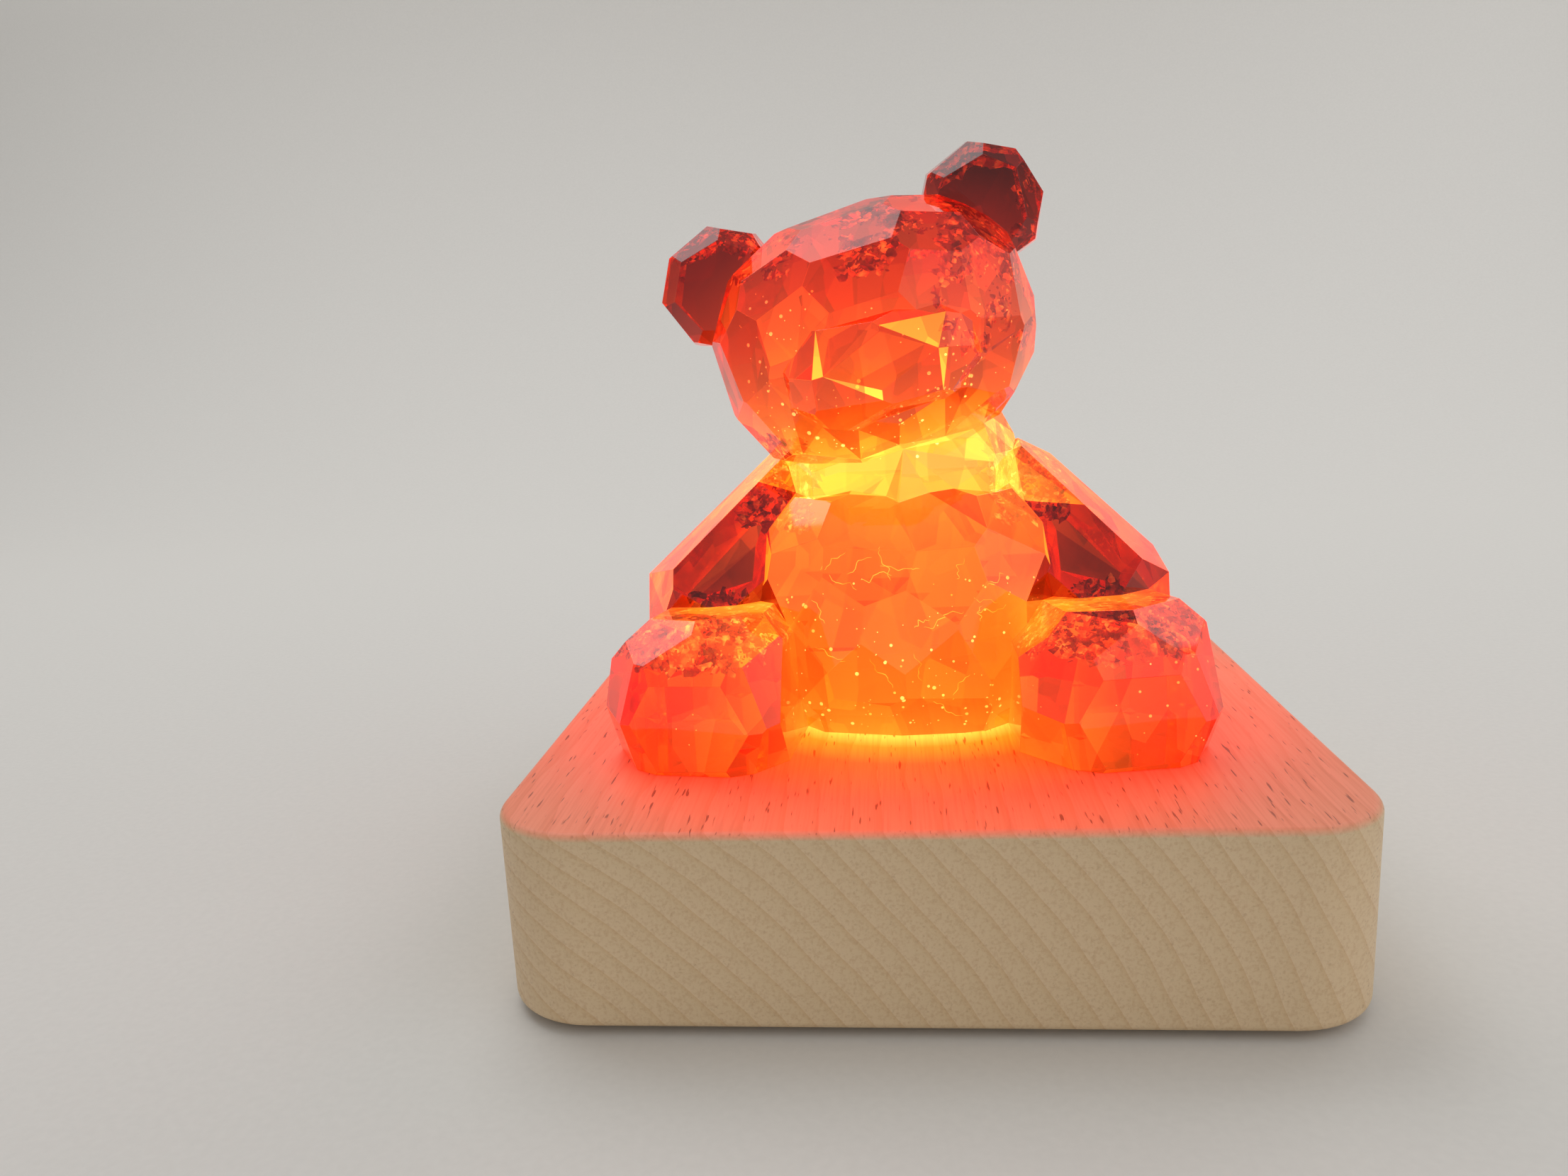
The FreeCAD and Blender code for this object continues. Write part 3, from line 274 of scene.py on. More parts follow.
def lightDeck(tree, shader, coords, wood):
    # The light falls off with the distance from the bear's middle, on the deck's own level only
    middleX, middleY = deckGlow["middle"]
    place = addNode(tree, "ShaderNodeVectorMath", {
        0: coords, 1: (middleX * mm, middleY * mm, deckTop)}, operation="SUBTRACT")
    flat = addNode(tree, "ShaderNodeVectorMath", {
        0: place.outputs["Vector"], 1: (1.0, 1.0, 0.0)}, operation="MULTIPLY")
    away = addNode(tree, "ShaderNodeVectorMath", {0: flat.outputs["Vector"]}, operation="LENGTH")
    fall = addNode(tree, "ShaderNodeMapRange", {
        "Value": away.outputs["Value"], "From Min": deckGlow["end"] * mm,
        "From Max": deckGlow["start"] * mm})
    height = addNode(tree, "ShaderNodeSeparateXYZ", {"Vector": place.outputs["Vector"]})
    level = addNode(tree, "ShaderNodeMapRange", {
        "Value": height.outputs["Z"], "From Min": deckGlow["below"][0] * mm,
        "From Max": deckGlow["below"][1] * mm})
    hue = addNode(tree, "ShaderNodeValToRGB", {"Fac": fall.outputs["Result"]},
                  ramp=deckGlow["ramp"])
    warmth = addNode(tree, "ShaderNodeMapRange", {
        "Value": fall.outputs["Result"], "To Min": 0.45, "To Max": 0.9})
    warmDeck = addNode(tree, "ShaderNodeMath", {
        0: warmth.outputs["Result"], 1: level.outputs["Result"]}, operation="MULTIPLY")
    reddened = addNode(tree, "ShaderNodeMix", {
        "Factor": warmDeck.outputs["Value"], "A": wood, "B": linear(deckGlow["tint"])},
        data_type="RGBA", blend_type="MULTIPLY")
    tree.links.new(reddened.outputs["Result"], shader.inputs["Base Color"])
    onWood = addNode(tree, "ShaderNodeMix", {
        "Factor": 1.0, "A": hue.outputs["Color"], "B": wood},
        data_type="RGBA", blend_type="MULTIPLY")
    tree.links.new(onWood.outputs["Result"], shader.inputs["Emission Color"])
    strength = addNode(tree, "ShaderNodeMath", {
        0: level.outputs["Result"], 1: deckGlow["level"]}, operation="MULTIPLY")
    tree.links.new(strength.outputs["Value"], shader.inputs["Emission Strength"])


def beechWood():
    material, tree, shader, coords = newMaterial("oiledBeech", Roughness=0.5, IOR=1.5)
    lightDeck(tree, shader, coords, beechGrain(tree, shader, coords))
    return material


dress(beechWood(), "base_block")
print("beech block dressed")


# Moulded ABS: a fine spark-eroded grain that breaks up the highlight
def mouldedPlastic(name, hexColour, roughness, grain=0.35, relief=0.02):
    material, tree, shader, coords = newMaterial(name, Roughness=roughness, IOR=1.53)
    spots = addNode(tree, "ShaderNodeTexNoise", {
        "Vector": coords, "Scale": 1 / (grain * mm), "Detail": 2.0})
    tint = addNode(tree, "ShaderNodeHueSaturation", {"Color": linear(hexColour)})
    value = addNode(tree, "ShaderNodeMapRange", {
        "Value": spots.outputs["Fac"], "To Min": 0.88, "To Max": 1.12})
    tree.links.new(value.outputs["Result"], tint.inputs["Value"])
    tree.links.new(tint.outputs["Color"], shader.inputs["Base Color"])
    rough = addNode(tree, "ShaderNodeMapRange", {
        "Value": spots.outputs["Fac"], "To Min": roughness - 0.08, "To Max": roughness + 0.08})
    tree.links.new(rough.outputs["Result"], shader.inputs["Roughness"])
    bump = addNode(tree, "ShaderNodeBump", {
        "Height": spots.outputs["Fac"], "Strength": 0.3, "Distance": relief * mm})
    tree.links.new(bump.outputs["Normal"], shader.inputs["Normal"])
    return material


# Plated or drawn metal: fine lines along one axis and a slightly uneven brightness
def drawnMetal(name, hexColour, roughness, line=0.12, stretch=30, axis=2):
    material, tree, shader, coords = newMaterial(name, Metallic=1.0, Roughness=roughness)
    scale = [1 / (line * mm)] * 3
    scale[axis] /= stretch
    drawn = addNode(tree, "ShaderNodeMapping", {"Vector": coords, "Scale": tuple(scale)})
    lines = addNode(tree, "ShaderNodeTexNoise", {
        "Vector": drawn.outputs["Vector"], "Scale": 1.0, "Detail": 2.0})
    shade = addNode(tree, "ShaderNodeHueSaturation", {"Color": linear(hexColour)})
    value = addNode(tree, "ShaderNodeMapRange", {
        "Value": lines.outputs["Fac"], "To Min": 0.85, "To Max": 1.12})
    tree.links.new(value.outputs["Result"], shade.inputs["Value"])
    tree.links.new(shade.outputs["Color"], shader.inputs["Base Color"])
    rough = addNode(tree, "ShaderNodeMapRange", {
        "Value": lines.outputs["Fac"], "To Min": roughness - 0.07, "To Max": roughness + 0.1})
    tree.links.new(rough.outputs["Result"], shader.inputs["Roughness"])
    bump = addNode(tree, "ShaderNodeBump", {
        "Height": lines.outputs["Fac"], "Strength": 0.15, "Distance": 0.01 * mm})
    tree.links.new(bump.outputs["Normal"], shader.inputs["Normal"])
    return material


# Solder-masked board: glossy lacquer over a faint net of copper tracks
def lacqueredBoard(name, mask, track, plane, spacing=6):
    material, tree, shader, coords = newMaterial(name, Roughness=0.35, IOR=1.5)
    turn = (math.pi / 2, 0, 0) if plane == "XZ" else (0, 0, 0)
    flat = addNode(tree, "ShaderNodeMapping", {"Vector": coords, "Rotation": turn})
    tracks = addNode(tree, "ShaderNodeTexBrick", {
        "Vector": flat.outputs["Vector"], "Scale": 1 / (spacing * mm), "Color1": linear(mask),
        "Color2": linear(mask), "Mortar": linear(track), "Mortar Size": 0.03})
    tree.links.new(tracks.outputs["Color"], shader.inputs["Base Color"])
    bump = addNode(tree, "ShaderNodeBump", {
        "Height": tracks.outputs["Fac"], "Strength": 0.2, "Distance": 0.03 * mm})
    tree.links.new(bump.outputs["Normal"], shader.inputs["Normal"])
    return material


# The lamps behind the window, and the colour that their phosphor gives the light
lamps = {"light": "#ffc964", "acrylic": "#fff0d0", "spacing": 6.5, "frost": 0.3, "swirl": 0.8}


# Frosted acrylic over lit lamps: an even warm glow, a little hotter over each lamp
def litAcrylic():
    material, tree, shader, coords = newMaterial("frostedAcrylic", Roughness=0.6, IOR=1.49,
                                                 Base_Color=linear(lamps["acrylic"]))
    hot = addNode(tree, "ShaderNodeTexVoronoi", {
        "Vector": coords, "Scale": 1 / (lamps["spacing"] * mm), "Randomness": 0.0})
    level = addNode(tree, "ShaderNodeMapRange", {
        "Value": hot.outputs["Distance"], "From Max": 0.8, "To Min": 2.0, "To Max": 1.3})
    frost = addNode(tree, "ShaderNodeTexNoise", {
        "Vector": coords, "Scale": 1 / (lamps["frost"] * mm)})
    bump = addNode(tree, "ShaderNodeBump", {
        "Height": frost.outputs["Fac"], "Strength": 0.3, "Distance": 0.02 * mm})
    tree.links.new(bump.outputs["Normal"], shader.inputs["Normal"])
    shader.inputs["Emission Color"].default_value = linear(lamps["light"])
    tree.links.new(level.outputs["Result"], shader.inputs["Emission Strength"])
    return material


# Clear gel over phosphor, swirled
def phosphorGel():
    material, tree, shader, coords = newMaterial("phosphorGel", Roughness=0.2,
                                                 Emission_Strength=3.0,
                                                 Emission_Color=linear(lamps["light"]))
    swirl = addNode(tree, "ShaderNodeTexNoise", {
        "Vector": coords, "Scale": 1 / (lamps["swirl"] * mm)})
    amber = addNode(tree, "ShaderNodeValToRGB", {"Fac": swirl.outputs["Fac"]},
                    ramp=[(0.35, "#e8a51c"), (0.65, "#f5c64a")])
    tree.links.new(amber.outputs["Color"], shader.inputs["Base Color"])
    return material


def makeSpring(steel):
    work = bmesh.new()
    work.from_mesh(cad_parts["switch_spring"].data)
    bmesh.ops.remove_doubles(work, verts=work.verts, dist=weld)
    mesh = bpy.data.meshes.new("return_spring")
    work.to_mesh(mesh)
    work.free()
    piece = newPiece("return_spring", mesh, steel, "base")
    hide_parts("switch_spring")
    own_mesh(piece)


def dressBase():
    dress(mouldedPlastic("mouldedCover", "#26262a", 0.6), "bottom_cover")
    dress(mouldedPlastic("vulcanisedRubber", "#1d1d1e", 0.8, grain=0.25), "rubber_feet")
    dress(mouldedPlastic("buttonAbs", "#d8d2c6", 0.45, grain=0.2), "button_cap")
    dress(mouldedPlastic("whiteAbs", "#ece9e2", 0.4), "reflector_ring", "switch_plunger")
    dress(mouldedPlastic("blackNylon", "#161618", 0.55),
          "socket_tongue", "switch_housing", "led_resistors", "driver_chip")
    dress(mouldedPlastic("lampPackage", "#f0eee8", 0.35), "led_packages")
    dress(mouldedPlastic("redSleeve", "#a01212", 0.45), "supply_lead")
    dress(mouldedPlastic("blackSleeve", "#141414", 0.45), "return_lead")
    dress(drawnMetal("zincSteel", "#b9b6ae", 0.35), "cover_screws", "led_board_screws")
    dress(drawnMetal("zincSteelRear", "#b9b6ae", 0.35, axis=1), "control_board_screws")
    steel = drawnMetal("drawnSteel", "#cfcdc8", 0.22, axis=1)
    dress(steel, "socket_shell")
    makeSpring(steel)
    dress(drawnMetal("platedBrass", "#d9a645", 0.25, axis=1), "socket_contacts")
    dress(lacqueredBoard("whiteMask", "#e6e5e0", "#cfcac0", "XY"), "led_board")
    dress(lacqueredBoard("greenMask", "#14602c", "#2a8a48", "XZ"), "control_board")
    dress(litAcrylic(), "light_window")
    dress(phosphorGel(), "led_lenses")


dressBase()
print("base pieces dressed")


# Bear: the casting's flats with edges that the mould and polishing have softened
shell = {"edgeRadius": 0.3, "shortest": 0.5, "levelWithin": 0.6, "edgeFrom": 5, "lift": 0.05,
         "middle": -1.4, "armSide": 17.0, "shoulder": 55.5, "shoulderTilt": (0.1, 0.0, 1.0),
         "placeStep": 1e-4}


def bearMesh():
    work = bmesh.new()
    work.from_mesh(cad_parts["bear_casting"].data)
    bmesh.ops.remove_doubles(work, verts=work.verts, dist=weld)
    bmesh.ops.dissolve_limit(work, angle_limit=math.radians(shell["levelWithin"]),
                             verts=work.verts, edges=work.edges)
    bmesh.ops.dissolve_degenerate(work, edges=work.edges, dist=shell["shortest"] * mm)
    edges = [edge for edge in work.edges if len(edge.link_faces) == 2
             and edge.calc_face_angle(0) > math.radians(shell["edgeFrom"])]
    print("bear flats", len(work.faces), "edges", len(edges),
          "shortest mm", round(min(edge.calc_length() for edge in edges) / mm, 3))
    bmesh.ops.bevel(work, geom=edges, offset=shell["edgeRadius"] * mm, offset_type="OFFSET",
                    segments=2, profile=0.5, affect="EDGES", clamp_overlap=True)
    # The arms' long flats are parted at the shoulder, which the light reaches
    arms = [face for face in work.faces
            if abs(face.calc_center_median().x / mm - shell["middle"]) > shell["armSide"]]
    found = set(arms)
    rims = [edge for edge in work.edges if not found.isdisjoint(edge.link_faces)]
    tips = [vert for vert in work.verts if not found.isdisjoint(vert.link_faces)]
    bmesh.ops.bisect_plane(work, geom=tips + rims + arms,
                           plane_co=(0, 0, shell["shoulder"] * mm),
                           plane_no=shell["shoulderTilt"])
    bmesh.ops.triangulate(work, faces=work.faces)
    bmesh.ops.recalc_face_normals(work, faces=work.faces)
    work.verts.index_update()
    points = np.array([vert.co for vert in work.verts])
    corners = np.array([[vert.index for vert in face.verts] for face in work.faces])
    work.free()
    # Clear of the deck that it stands on
    points[:, 2] = np.maximum(points[:, 2], deckTop + shell["lift"] * mm)
    # The bevel numbers its points afresh each run, so points and faces are put in order of place
    order = np.lexsort(np.round(points / (shell["placeStep"] * mm)).T)
    corners = np.argsort(order)[corners]
    first = corners.argmin(1)[:, None]
    corners = np.take_along_axis(corners, (first + np.arange(3)) % 3, 1)
    corners = corners[np.lexsort(corners.T[::-1])]
    mesh = bpy.data.meshes.new("bear_resin")
    mesh.from_pydata(points[order].tolist(), [], corners.tolist())
    return mesh


def inRegion(region, points, normals=None):
    # Which points, in mm, lie within every range of a region: place, distance from the bear's
    # middle, height over the shoulder cut, and the way their flats face
    x, y, z = points.T
    measures = {"x": x, "y": y, "z": z, "side": np.abs(x - shell["middle"]),
                "overShoulder": points @ shell["shoulderTilt"] - shell["shoulder"]}
    if normals is not None:
        measures.update(zip(("facesRight", "facesBack", "facesUp"), normals.T))
    return np.all([(measures[name] > low) & (measures[name] < high)
                   for name, (low, high) in region.items()], axis=0)


# Light in the resin: it comes from a line between the window and the collar, has farther to go to
# the head, and reaches the feet from the deck as well. How far it has come is kept in mm.
glow = {"foot": (-1.4, -3.0, 24.5), "collar": (-2.4, -4.0, 58.0),
        "headFrom": 61, "headRate": 0.3, "crownFrom": 81, "crownRate": 0.4,
        "feet": {"y": (-inf, -16), "side": (15, inf), "z": (-inf, 46)}, "feetNearer": 6.5,
        # Every way that a flat can face has one draw for its painted light, how bright and how
        # yellow it glows, told apart in these steps
        "seed": 12, "wayStep": 1 / 40,
        # In some regions the painted light becomes a start plus a share of the draw: the arms and
        # collar are painted bright, and the arms' fronts are painted dark, as painted shade
        "regionLights": [(0.35, 0.45, {"z": (-inf, 54), "side": (-inf, 21), "y": (-24, inf)}),   # belly
                  (0.8, 0.7, {"side": (shell["armSide"], inf), "z": (42, 62),   # arms
                              "facesBack": (-0.5, inf)}),
                  (0.3, 0.6, {"side": (shell["armSide"], inf), "z": (42, 62),   # shoulders
                              "facesBack": (-inf, -0.5), "overShoulder": (0, inf)}),
                  (-2.0, 0.0, {"side": (shell["armSide"], inf), "z": (42, 62),   # arms' fronts
                               "facesBack": (-inf, -0.5), "overShoulder": (-inf, 0)}),
                  (0.9, 1.0, {"z": (55, 64), "side": (-inf, 16), "y": (-19, inf),   # collar
                              "facesBack": (-inf, -0.3)})],
        # The lamp shows as slivers round the muzzle's front, at these places in X and Z
        "muzzle": {"x": (-15.8, 8.2), "y": (-27.9, -25.4), "z": (65.2, 81.2),
                   "facesBack": (-0.93, -0.84)},
        "slivers": [(-11.2, 73.6), (1.1, 77.0), (3.6, 73.0), (-5.9, 70.3)], "sliverLight": 2.4,
        "ears": [(-24.5, -6.5, 83.5), (9.7, -6.5, 92.0)], "earReach": 9.5, "earFacing": 0.8,
        "earShade": 0.1}


def markLightPath(mesh):
    points = np.empty(len(mesh.vertices) * 3)
    mesh.vertices.foreach_get("co", points)
    points = points.reshape(-1, 3) / mm
    foot, collar = np.array(glow["foot"]), np.array(glow["collar"])
    line = collar - foot
    share = np.clip((points - foot) @ line / (line @ line), 0, 1)
    path = np.linalg.norm(points - foot - share[:, None] * line, axis=1)
    head = np.clip(points[:, 2] - glow["headFrom"], 0, glow["crownFrom"] - glow["headFrom"])
    crown = np.maximum(points[:, 2] - glow["crownFrom"], 0)
    path += glow["headRate"] * head + glow["crownRate"] * crown
    path -= glow["feetNearer"] * inRegion(glow["feet"], points)
    layer = mesh.attributes.new("lightPath", "FLOAT", "POINT")
    layer.data.foreach_set("value", path.astype(np.float32))


def markFlatLight(mesh):
    # Painted light of each flat: one draw for each way a flat faces, brighter or darker by region,
    # kept on the faces
    count = len(mesh.polygons)
    normals, centres = np.empty(count * 3), np.empty(count * 3)
    mesh.polygons.foreach_get("normal", normals)
    mesh.polygons.foreach_get("center", centres)
    normals, centres = normals.reshape(-1, 3), centres.reshape(-1, 3) / mm
    ways = np.round(normals / glow["wayStep"]).astype(int)
    keys = np.unique(ways, axis=0, return_inverse=True)[1].ravel()
    flatLight = np.random.default_rng(glow["seed"]).random(keys.max() + 1)[keys]
    for start, share, region in glow["regionLights"]:
        flatLight = np.where(inRegion(region, centres, normals), start + share * flatLight, flatLight)
    # Each sliver is the triangle nearest its place
    muzzle = np.flatnonzero(inRegion(glow["muzzle"], centres, normals))
    for place in glow["slivers"]:
        away = np.hypot(*(centres[muzzle][:, (0, 2)] - place).T)
        flatLight[muzzle[away.argmin()]] = glow["sliverLight"]
    # The ears' flat fronts and backs get painted shade: they are drawn dark
    for ear in glow["ears"]:
        near = np.linalg.norm(centres - np.array(ear), axis=1) < glow["earReach"]
        flatLight[near & (np.abs(normals[:, 1]) > glow["earFacing"])] = glow["earShade"]
    layer = mesh.attributes.new("paintedFlatLight", "FLOAT", "FACE")
    layer.data.foreach_set("value", flatLight.astype(np.float32))


# Cast polyester resin, dyed orange and lit from below: clear and glossy. The lamp's light is
# painted
# into its glow and base colour: yellow where the light is near, deep red where it has come a long
# way, and each flat a little lighter or darker
resin = {"ramp": [(0.0, "#ffc43a"), (0.22, "#ff9a1c"), (0.36, "#fa6a16"), (0.5, "#ea4218"),
                  (0.68, "#c42412"), (0.85, "#8e120a"), (1.0, "#6a0a06")],
         "tint": [(0.0, "#ffe2a0"), (0.36, "#ffa04e"), (0.5, "#fb7644"), (0.68, "#d84024"),
                  (0.85, "#961c12"), (1.0, "#4a0c08")],
         "farthest": 60.0, "darkest": -0.5, "glowLevel": (0.036, 1.08),
         "shard": (4.0, 5.0, 8.0), "haze": 6, "dye": "#fddd59", "density": 60.0}


def castResin():
    material, tree, shader, coords = newMaterial("castPolyesterResin", Roughness=0.03, IOR=1.55,
                                                 Transmission_Weight=0.9)
    path = addNode(tree, "ShaderNodeAttribute", attribute_name="lightPath")
    flatLight = addNode(tree, "ShaderNodeAttribute", attribute_name="paintedFlatLight")
    share = addNode(tree, "ShaderNodeMapRange", {
        "Value": path.outputs["Fac"], "From Max": resin["farthest"]})
    nudge = addNode(tree, "ShaderNodeMapRange", {
        "Value": flatLight.outputs["Fac"], "To Min": 0.12, "To Max": -0.1}, clamp=False)
    moved = addNode(tree, "ShaderNodeMath", {
        0: share.outputs["Result"], 1: nudge.outputs["Result"]}, operation="ADD")
    hue = addNode(tree, "ShaderNodeValToRGB", {"Fac": moved.outputs["Value"]},
                  ramp=resin["ramp"])
    tree.links.new(hue.outputs["Color"], shader.inputs["Emission Color"])
    # The base colour is painted with the same light: pale where the lamp is near, dark red where
    # it is far
    tint = addNode(tree, "ShaderNodeValToRGB", {"Fac": moved.outputs["Value"]},
                   ramp=resin["tint"])
    tree.links.new(tint.outputs["Color"], shader.inputs["Base Color"])
    level = addNode(tree, "ShaderNodeMapRange", {
        "Value": flatLight.outputs["Fac"], "From Min": resin["darkest"],
        "From Max": glow["sliverLight"], "To Min": resin["glowLevel"][0],
        "To Max": resin["glowLevel"][1]})
    # Painted reflections: flats on the far side show through as straight-edged shards drawn into
    # the glow, more so away from the lamp
    turned = addNode(tree, "ShaderNodeMapping", {
        "Vector": coords, "Rotation": (0.5, 0.3, 0.8),
        "Scale": tuple(1 / (side * mm) for side in resin["shard"])})
    shards = addNode(tree, "ShaderNodeTexVoronoi", {
        "Vector": turned.outputs["Vector"], "Scale": 1.0})
    shard = addNode(tree, "ShaderNodeSeparateColor", {"Color": shards.outputs["Color"]})
    swing = addNode(tree, "ShaderNodeMapRange", {
        "Value": path.outputs["Fac"], "From Min": 17.0, "From Max": 30.0,
        "To Min": 0.25, "To Max": 1.0})
    dim = addNode(tree, "ShaderNodeMath", {0: 1.0, 1: swing.outputs["Result"]},
                  operation="SUBTRACT")
    shine = addNode(tree, "ShaderNodeMapRange", {
        "Value": shard.outputs["Red"], "To Min": dim.outputs["Value"], "To Max": 1.5})
    strength = addNode(tree, "ShaderNodeMath", {
        0: level.outputs["Result"], 1: shine.outputs["Result"]}, operation="MULTIPLY")
    tree.links.new(strength.outputs["Value"], shader.inputs["Emission Strength"])
    haze = addNode(tree, "ShaderNodeTexNoise", {
        "Vector": coords, "Scale": 1 / (resin["haze"] * mm), "Detail": 4.0})
    rough = addNode(tree, "ShaderNodeMapRange", {
        "Value": haze.outputs["Fac"], "To Min": 0.01, "To Max": 0.07})
    tree.links.new(rough.outputs["Result"], shader.inputs["Roughness"])
    dye = addNode(tree, "ShaderNodeVolumeAbsorption", {
        "Color": linear(resin["dye"]), "Density": resin["density"]})
    tree.links.new(dye.outputs["Volume"], tree.nodes["Material Output"].inputs["Volume"])
    return material


bearShell = bearMesh()
markLightPath(bearShell)
markFlatLight(bearShell)
bear = newPiece("bear_resin", bearShell, castResin(), "bear")
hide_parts("bear_casting")
print("bear cast", len(bearShell.polygons), "faces")


# Inside the casting: leaf flakes under the upper flats, air bubbles and flow lines
def bearTriangles():
    # Corners in mm, normals and areas of the bear's triangles
    bearShell.calc_loop_triangles()
    count = len(bearShell.loop_triangles)
    corners = np.empty(count * 3, int)
    bearShell.loop_triangles.foreach_get("vertices", corners)
    points = np.empty(len(bearShell.vertices) * 3)
    bearShell.vertices.foreach_get("co", points)
    corners = points.reshape(-1, 3)[corners.reshape(-1, 3)] / mm
    square = np.cross(corners[:, 1] - corners[:, 0], corners[:, 2] - corners[:, 0])
    area = np.linalg.norm(square, axis=1) / 2
    return corners, square / np.maximum(2 * area[:, None], 1e-12), area


inside = BVHTree.FromPolygons([vertex.co.copy() for vertex in bearShell.vertices],
                              [tuple(face.vertices) for face in bearShell.polygons])


def depthInside(points):
    # Depth of each point under the bear's nearest flat, in mm, negative outside
    depths = []
    for point in points:
        place, normal, index, away = inside.find_nearest(Vector(point) * mm)
        depths.append((place - Vector(point) * mm).dot(normal) / mm)
    return np.array(depths)


def drawSizes(draw, limits, power, count):
    # Sizes between two limits, most of them near the lower one
    low, high = limits
    return low + (high - low) * draw.random(count) ** power


# Copper-gold leaf in torn, crumpled flakes, which glint on some edges and are dark on others
flakes = {"tries": 70000, "seed": 11, "corners": 6, "size": (0.18, 1.25), "sizePower": 3,
          "long": 1.7, "reach": (0.35, 1.0), "depth": (0.25, 1.5), "cover": 0.12, "tilt": 0.25,
          "swing": 0.3, "crumple": 0.2, "thick": 0.04, "stain": 1.6, "facet": 0.9,
          # Share of the tries that is kept in a region
          "shares": [(0.7, {"z": (84, inf), "facesUp": (0.25, inf), "x": (-inf, 12)}),   # crown
                     (0.6, {"z": (74, inf), "x": (3, inf), "y": (-inf, -4),   # cheek
                            "facesRight": (0.25, inf)}),
                     (0.8, {"z": (52, 64), "side": (12, 22), "y": (-inf, 0)}),   # shoulders
                     (1.0, {"z": (38, 44), "y": (-inf, -14), "facesUp": (0.35, inf)}),   # legs
                     (0.2, {"z": (93, inf), "x": (4, inf), "facesUp": (0.2, inf)})],   # ear
          # On the head the leaf lies in patches: slow waves say where, quicker ones tear the edges
          "patchAbove": 68.0, "patchWave": 0.55, "patchShift": (1.3, 0.4, 2.0),
          "tearWave": 1.7, "tearShift": 0.7, "tear": 0.25}


def leafMaterial():
    material, tree, shader, coords = newMaterial("tornCopperLeaf", Metallic=1.0, Roughness=0.35)
    stain = addNode(tree, "ShaderNodeTexNoise", {
        "Vector": coords, "Scale": 1 / (flakes["stain"] * mm), "Detail": 3.0})
    leaf = addNode(tree, "ShaderNodeValToRGB", {"Fac": stain.outputs["Fac"]},
                   ramp=[(0.3, "#8a2c18"), (0.5, "#d4602c"), (0.7, "#f8b860")])
    tree.links.new(leaf.outputs["Color"], shader.inputs["Base Color"])
    rough = addNode(tree, "ShaderNodeMapRange", {
        "Value": stain.outputs["Fac"], "To Min": 0.2, "To Max": 0.55})
    tree.links.new(rough.outputs["Result"], shader.inputs["Roughness"])
    # Some of the leaf faces the lamp below and throws its light back
    facets = addNode(tree, "ShaderNodeTexVoronoi", {
        "Vector": coords, "Scale": 1 / (flakes["facet"] * mm)})
    glint = addNode(tree, "ShaderNodeSeparateColor", {"Color": facets.outputs["Color"]})
    level = addNode(tree, "ShaderNodeMapRange", {
        "Value": glint.outputs["Green"], "From Min": 0.5, "From Max": 1.0,
        "To Min": 0.08, "To Max": 2.2})
    tree.links.new(level.outputs["Result"], shader.inputs["Emission Strength"])
    tree.links.new(leaf.outputs["Color"], shader.inputs["Emission Color"])
    return material


def makeFlakes():
    corners, normals, area = bearTriangles()
    draw = np.random.default_rng(flakes["seed"])
    pick = draw.choice(len(area), flakes["tries"], p=area / area.sum())
    place = (corners[pick] * draw.dirichlet((1, 1, 1), len(pick))[:, :, None]).sum(1)
    share = sum(part * inRegion(region, place, normals[pick])
                for part, region in flakes["shares"])
    kept = draw.random(len(pick)) < share
    normal = normals[pick[kept]]
    count, sides = len(normal), flakes["corners"]
    centre = place[kept] - normal * draw.uniform(*flakes["depth"], count)[:, None]
    # Each flake is two fans with one rim, in the plane of the flat above it, tilted and crumpled
    tilted = normal + draw.normal(0, flakes["tilt"], (count, 3))
    tilted /= np.linalg.norm(tilted, axis=1)[:, None]
    first = np.cross(tilted, draw.normal(0, 1, (count, 3)))
    first /= np.linalg.norm(first, axis=1)[:, None]
    second = np.cross(tilted, first)
    size = drawSizes(draw, flakes["size"], flakes["sizePower"], count)[:, None]
    swing = draw.uniform(-flakes["swing"], flakes["swing"], (count, sides))
    turn = (np.arange(sides) + swing) * 2 * math.pi / sides
    reach = size * draw.uniform(*flakes["reach"], (count, sides))
    rise = size * draw.normal(0, flakes["crumple"], (count, sides))
    rim = (centre[:, None] + first[:, None] * (flakes["long"] * reach * np.cos(turn))[..., None]
           + second[:, None] * (reach * np.sin(turn))[..., None]
           + tilted[:, None] * rise[..., None])
    thick = tilted[:, None] * flakes["thick"] / 2
    points = np.concatenate([centre[:, None] + thick, centre[:, None] - thick, rim], 1)
    patch = (np.sin(flakes["patchWave"] * centre + flakes["patchShift"]).prod(1)
             + flakes["tear"] * np.sin(flakes["tearWave"] * centre + flakes["tearShift"]).prod(1))
    points = points[(patch > 0.0) | (centre[:, 2] < flakes["patchAbove"])]
    deep = depthInside(points.reshape(-1, 3)).reshape(len(points), -1).min(1)
    points = points[deep > flakes["cover"]]
    step = np.arange(sides)
    near, far = 2 + step, 2 + (step + 1) % sides
    fans = np.concatenate([np.stack([0 * step, near, far], -1),
                           np.stack([0 * step + 1, far, near], -1)])
    starts = (np.arange(len(points)) * (sides + 2))[:, None, None]
    faces = (fans[None] + starts).reshape(-1, 3)
    mesh = bpy.data.meshes.new("leaf_flakes")
    mesh.from_pydata((points.reshape(-1, 3) * mm).tolist(), [], faces.tolist())
    newPiece("leaf_flakes", mesh, leafMaterial(), "bear")
    print("leaf flakes", len(points))


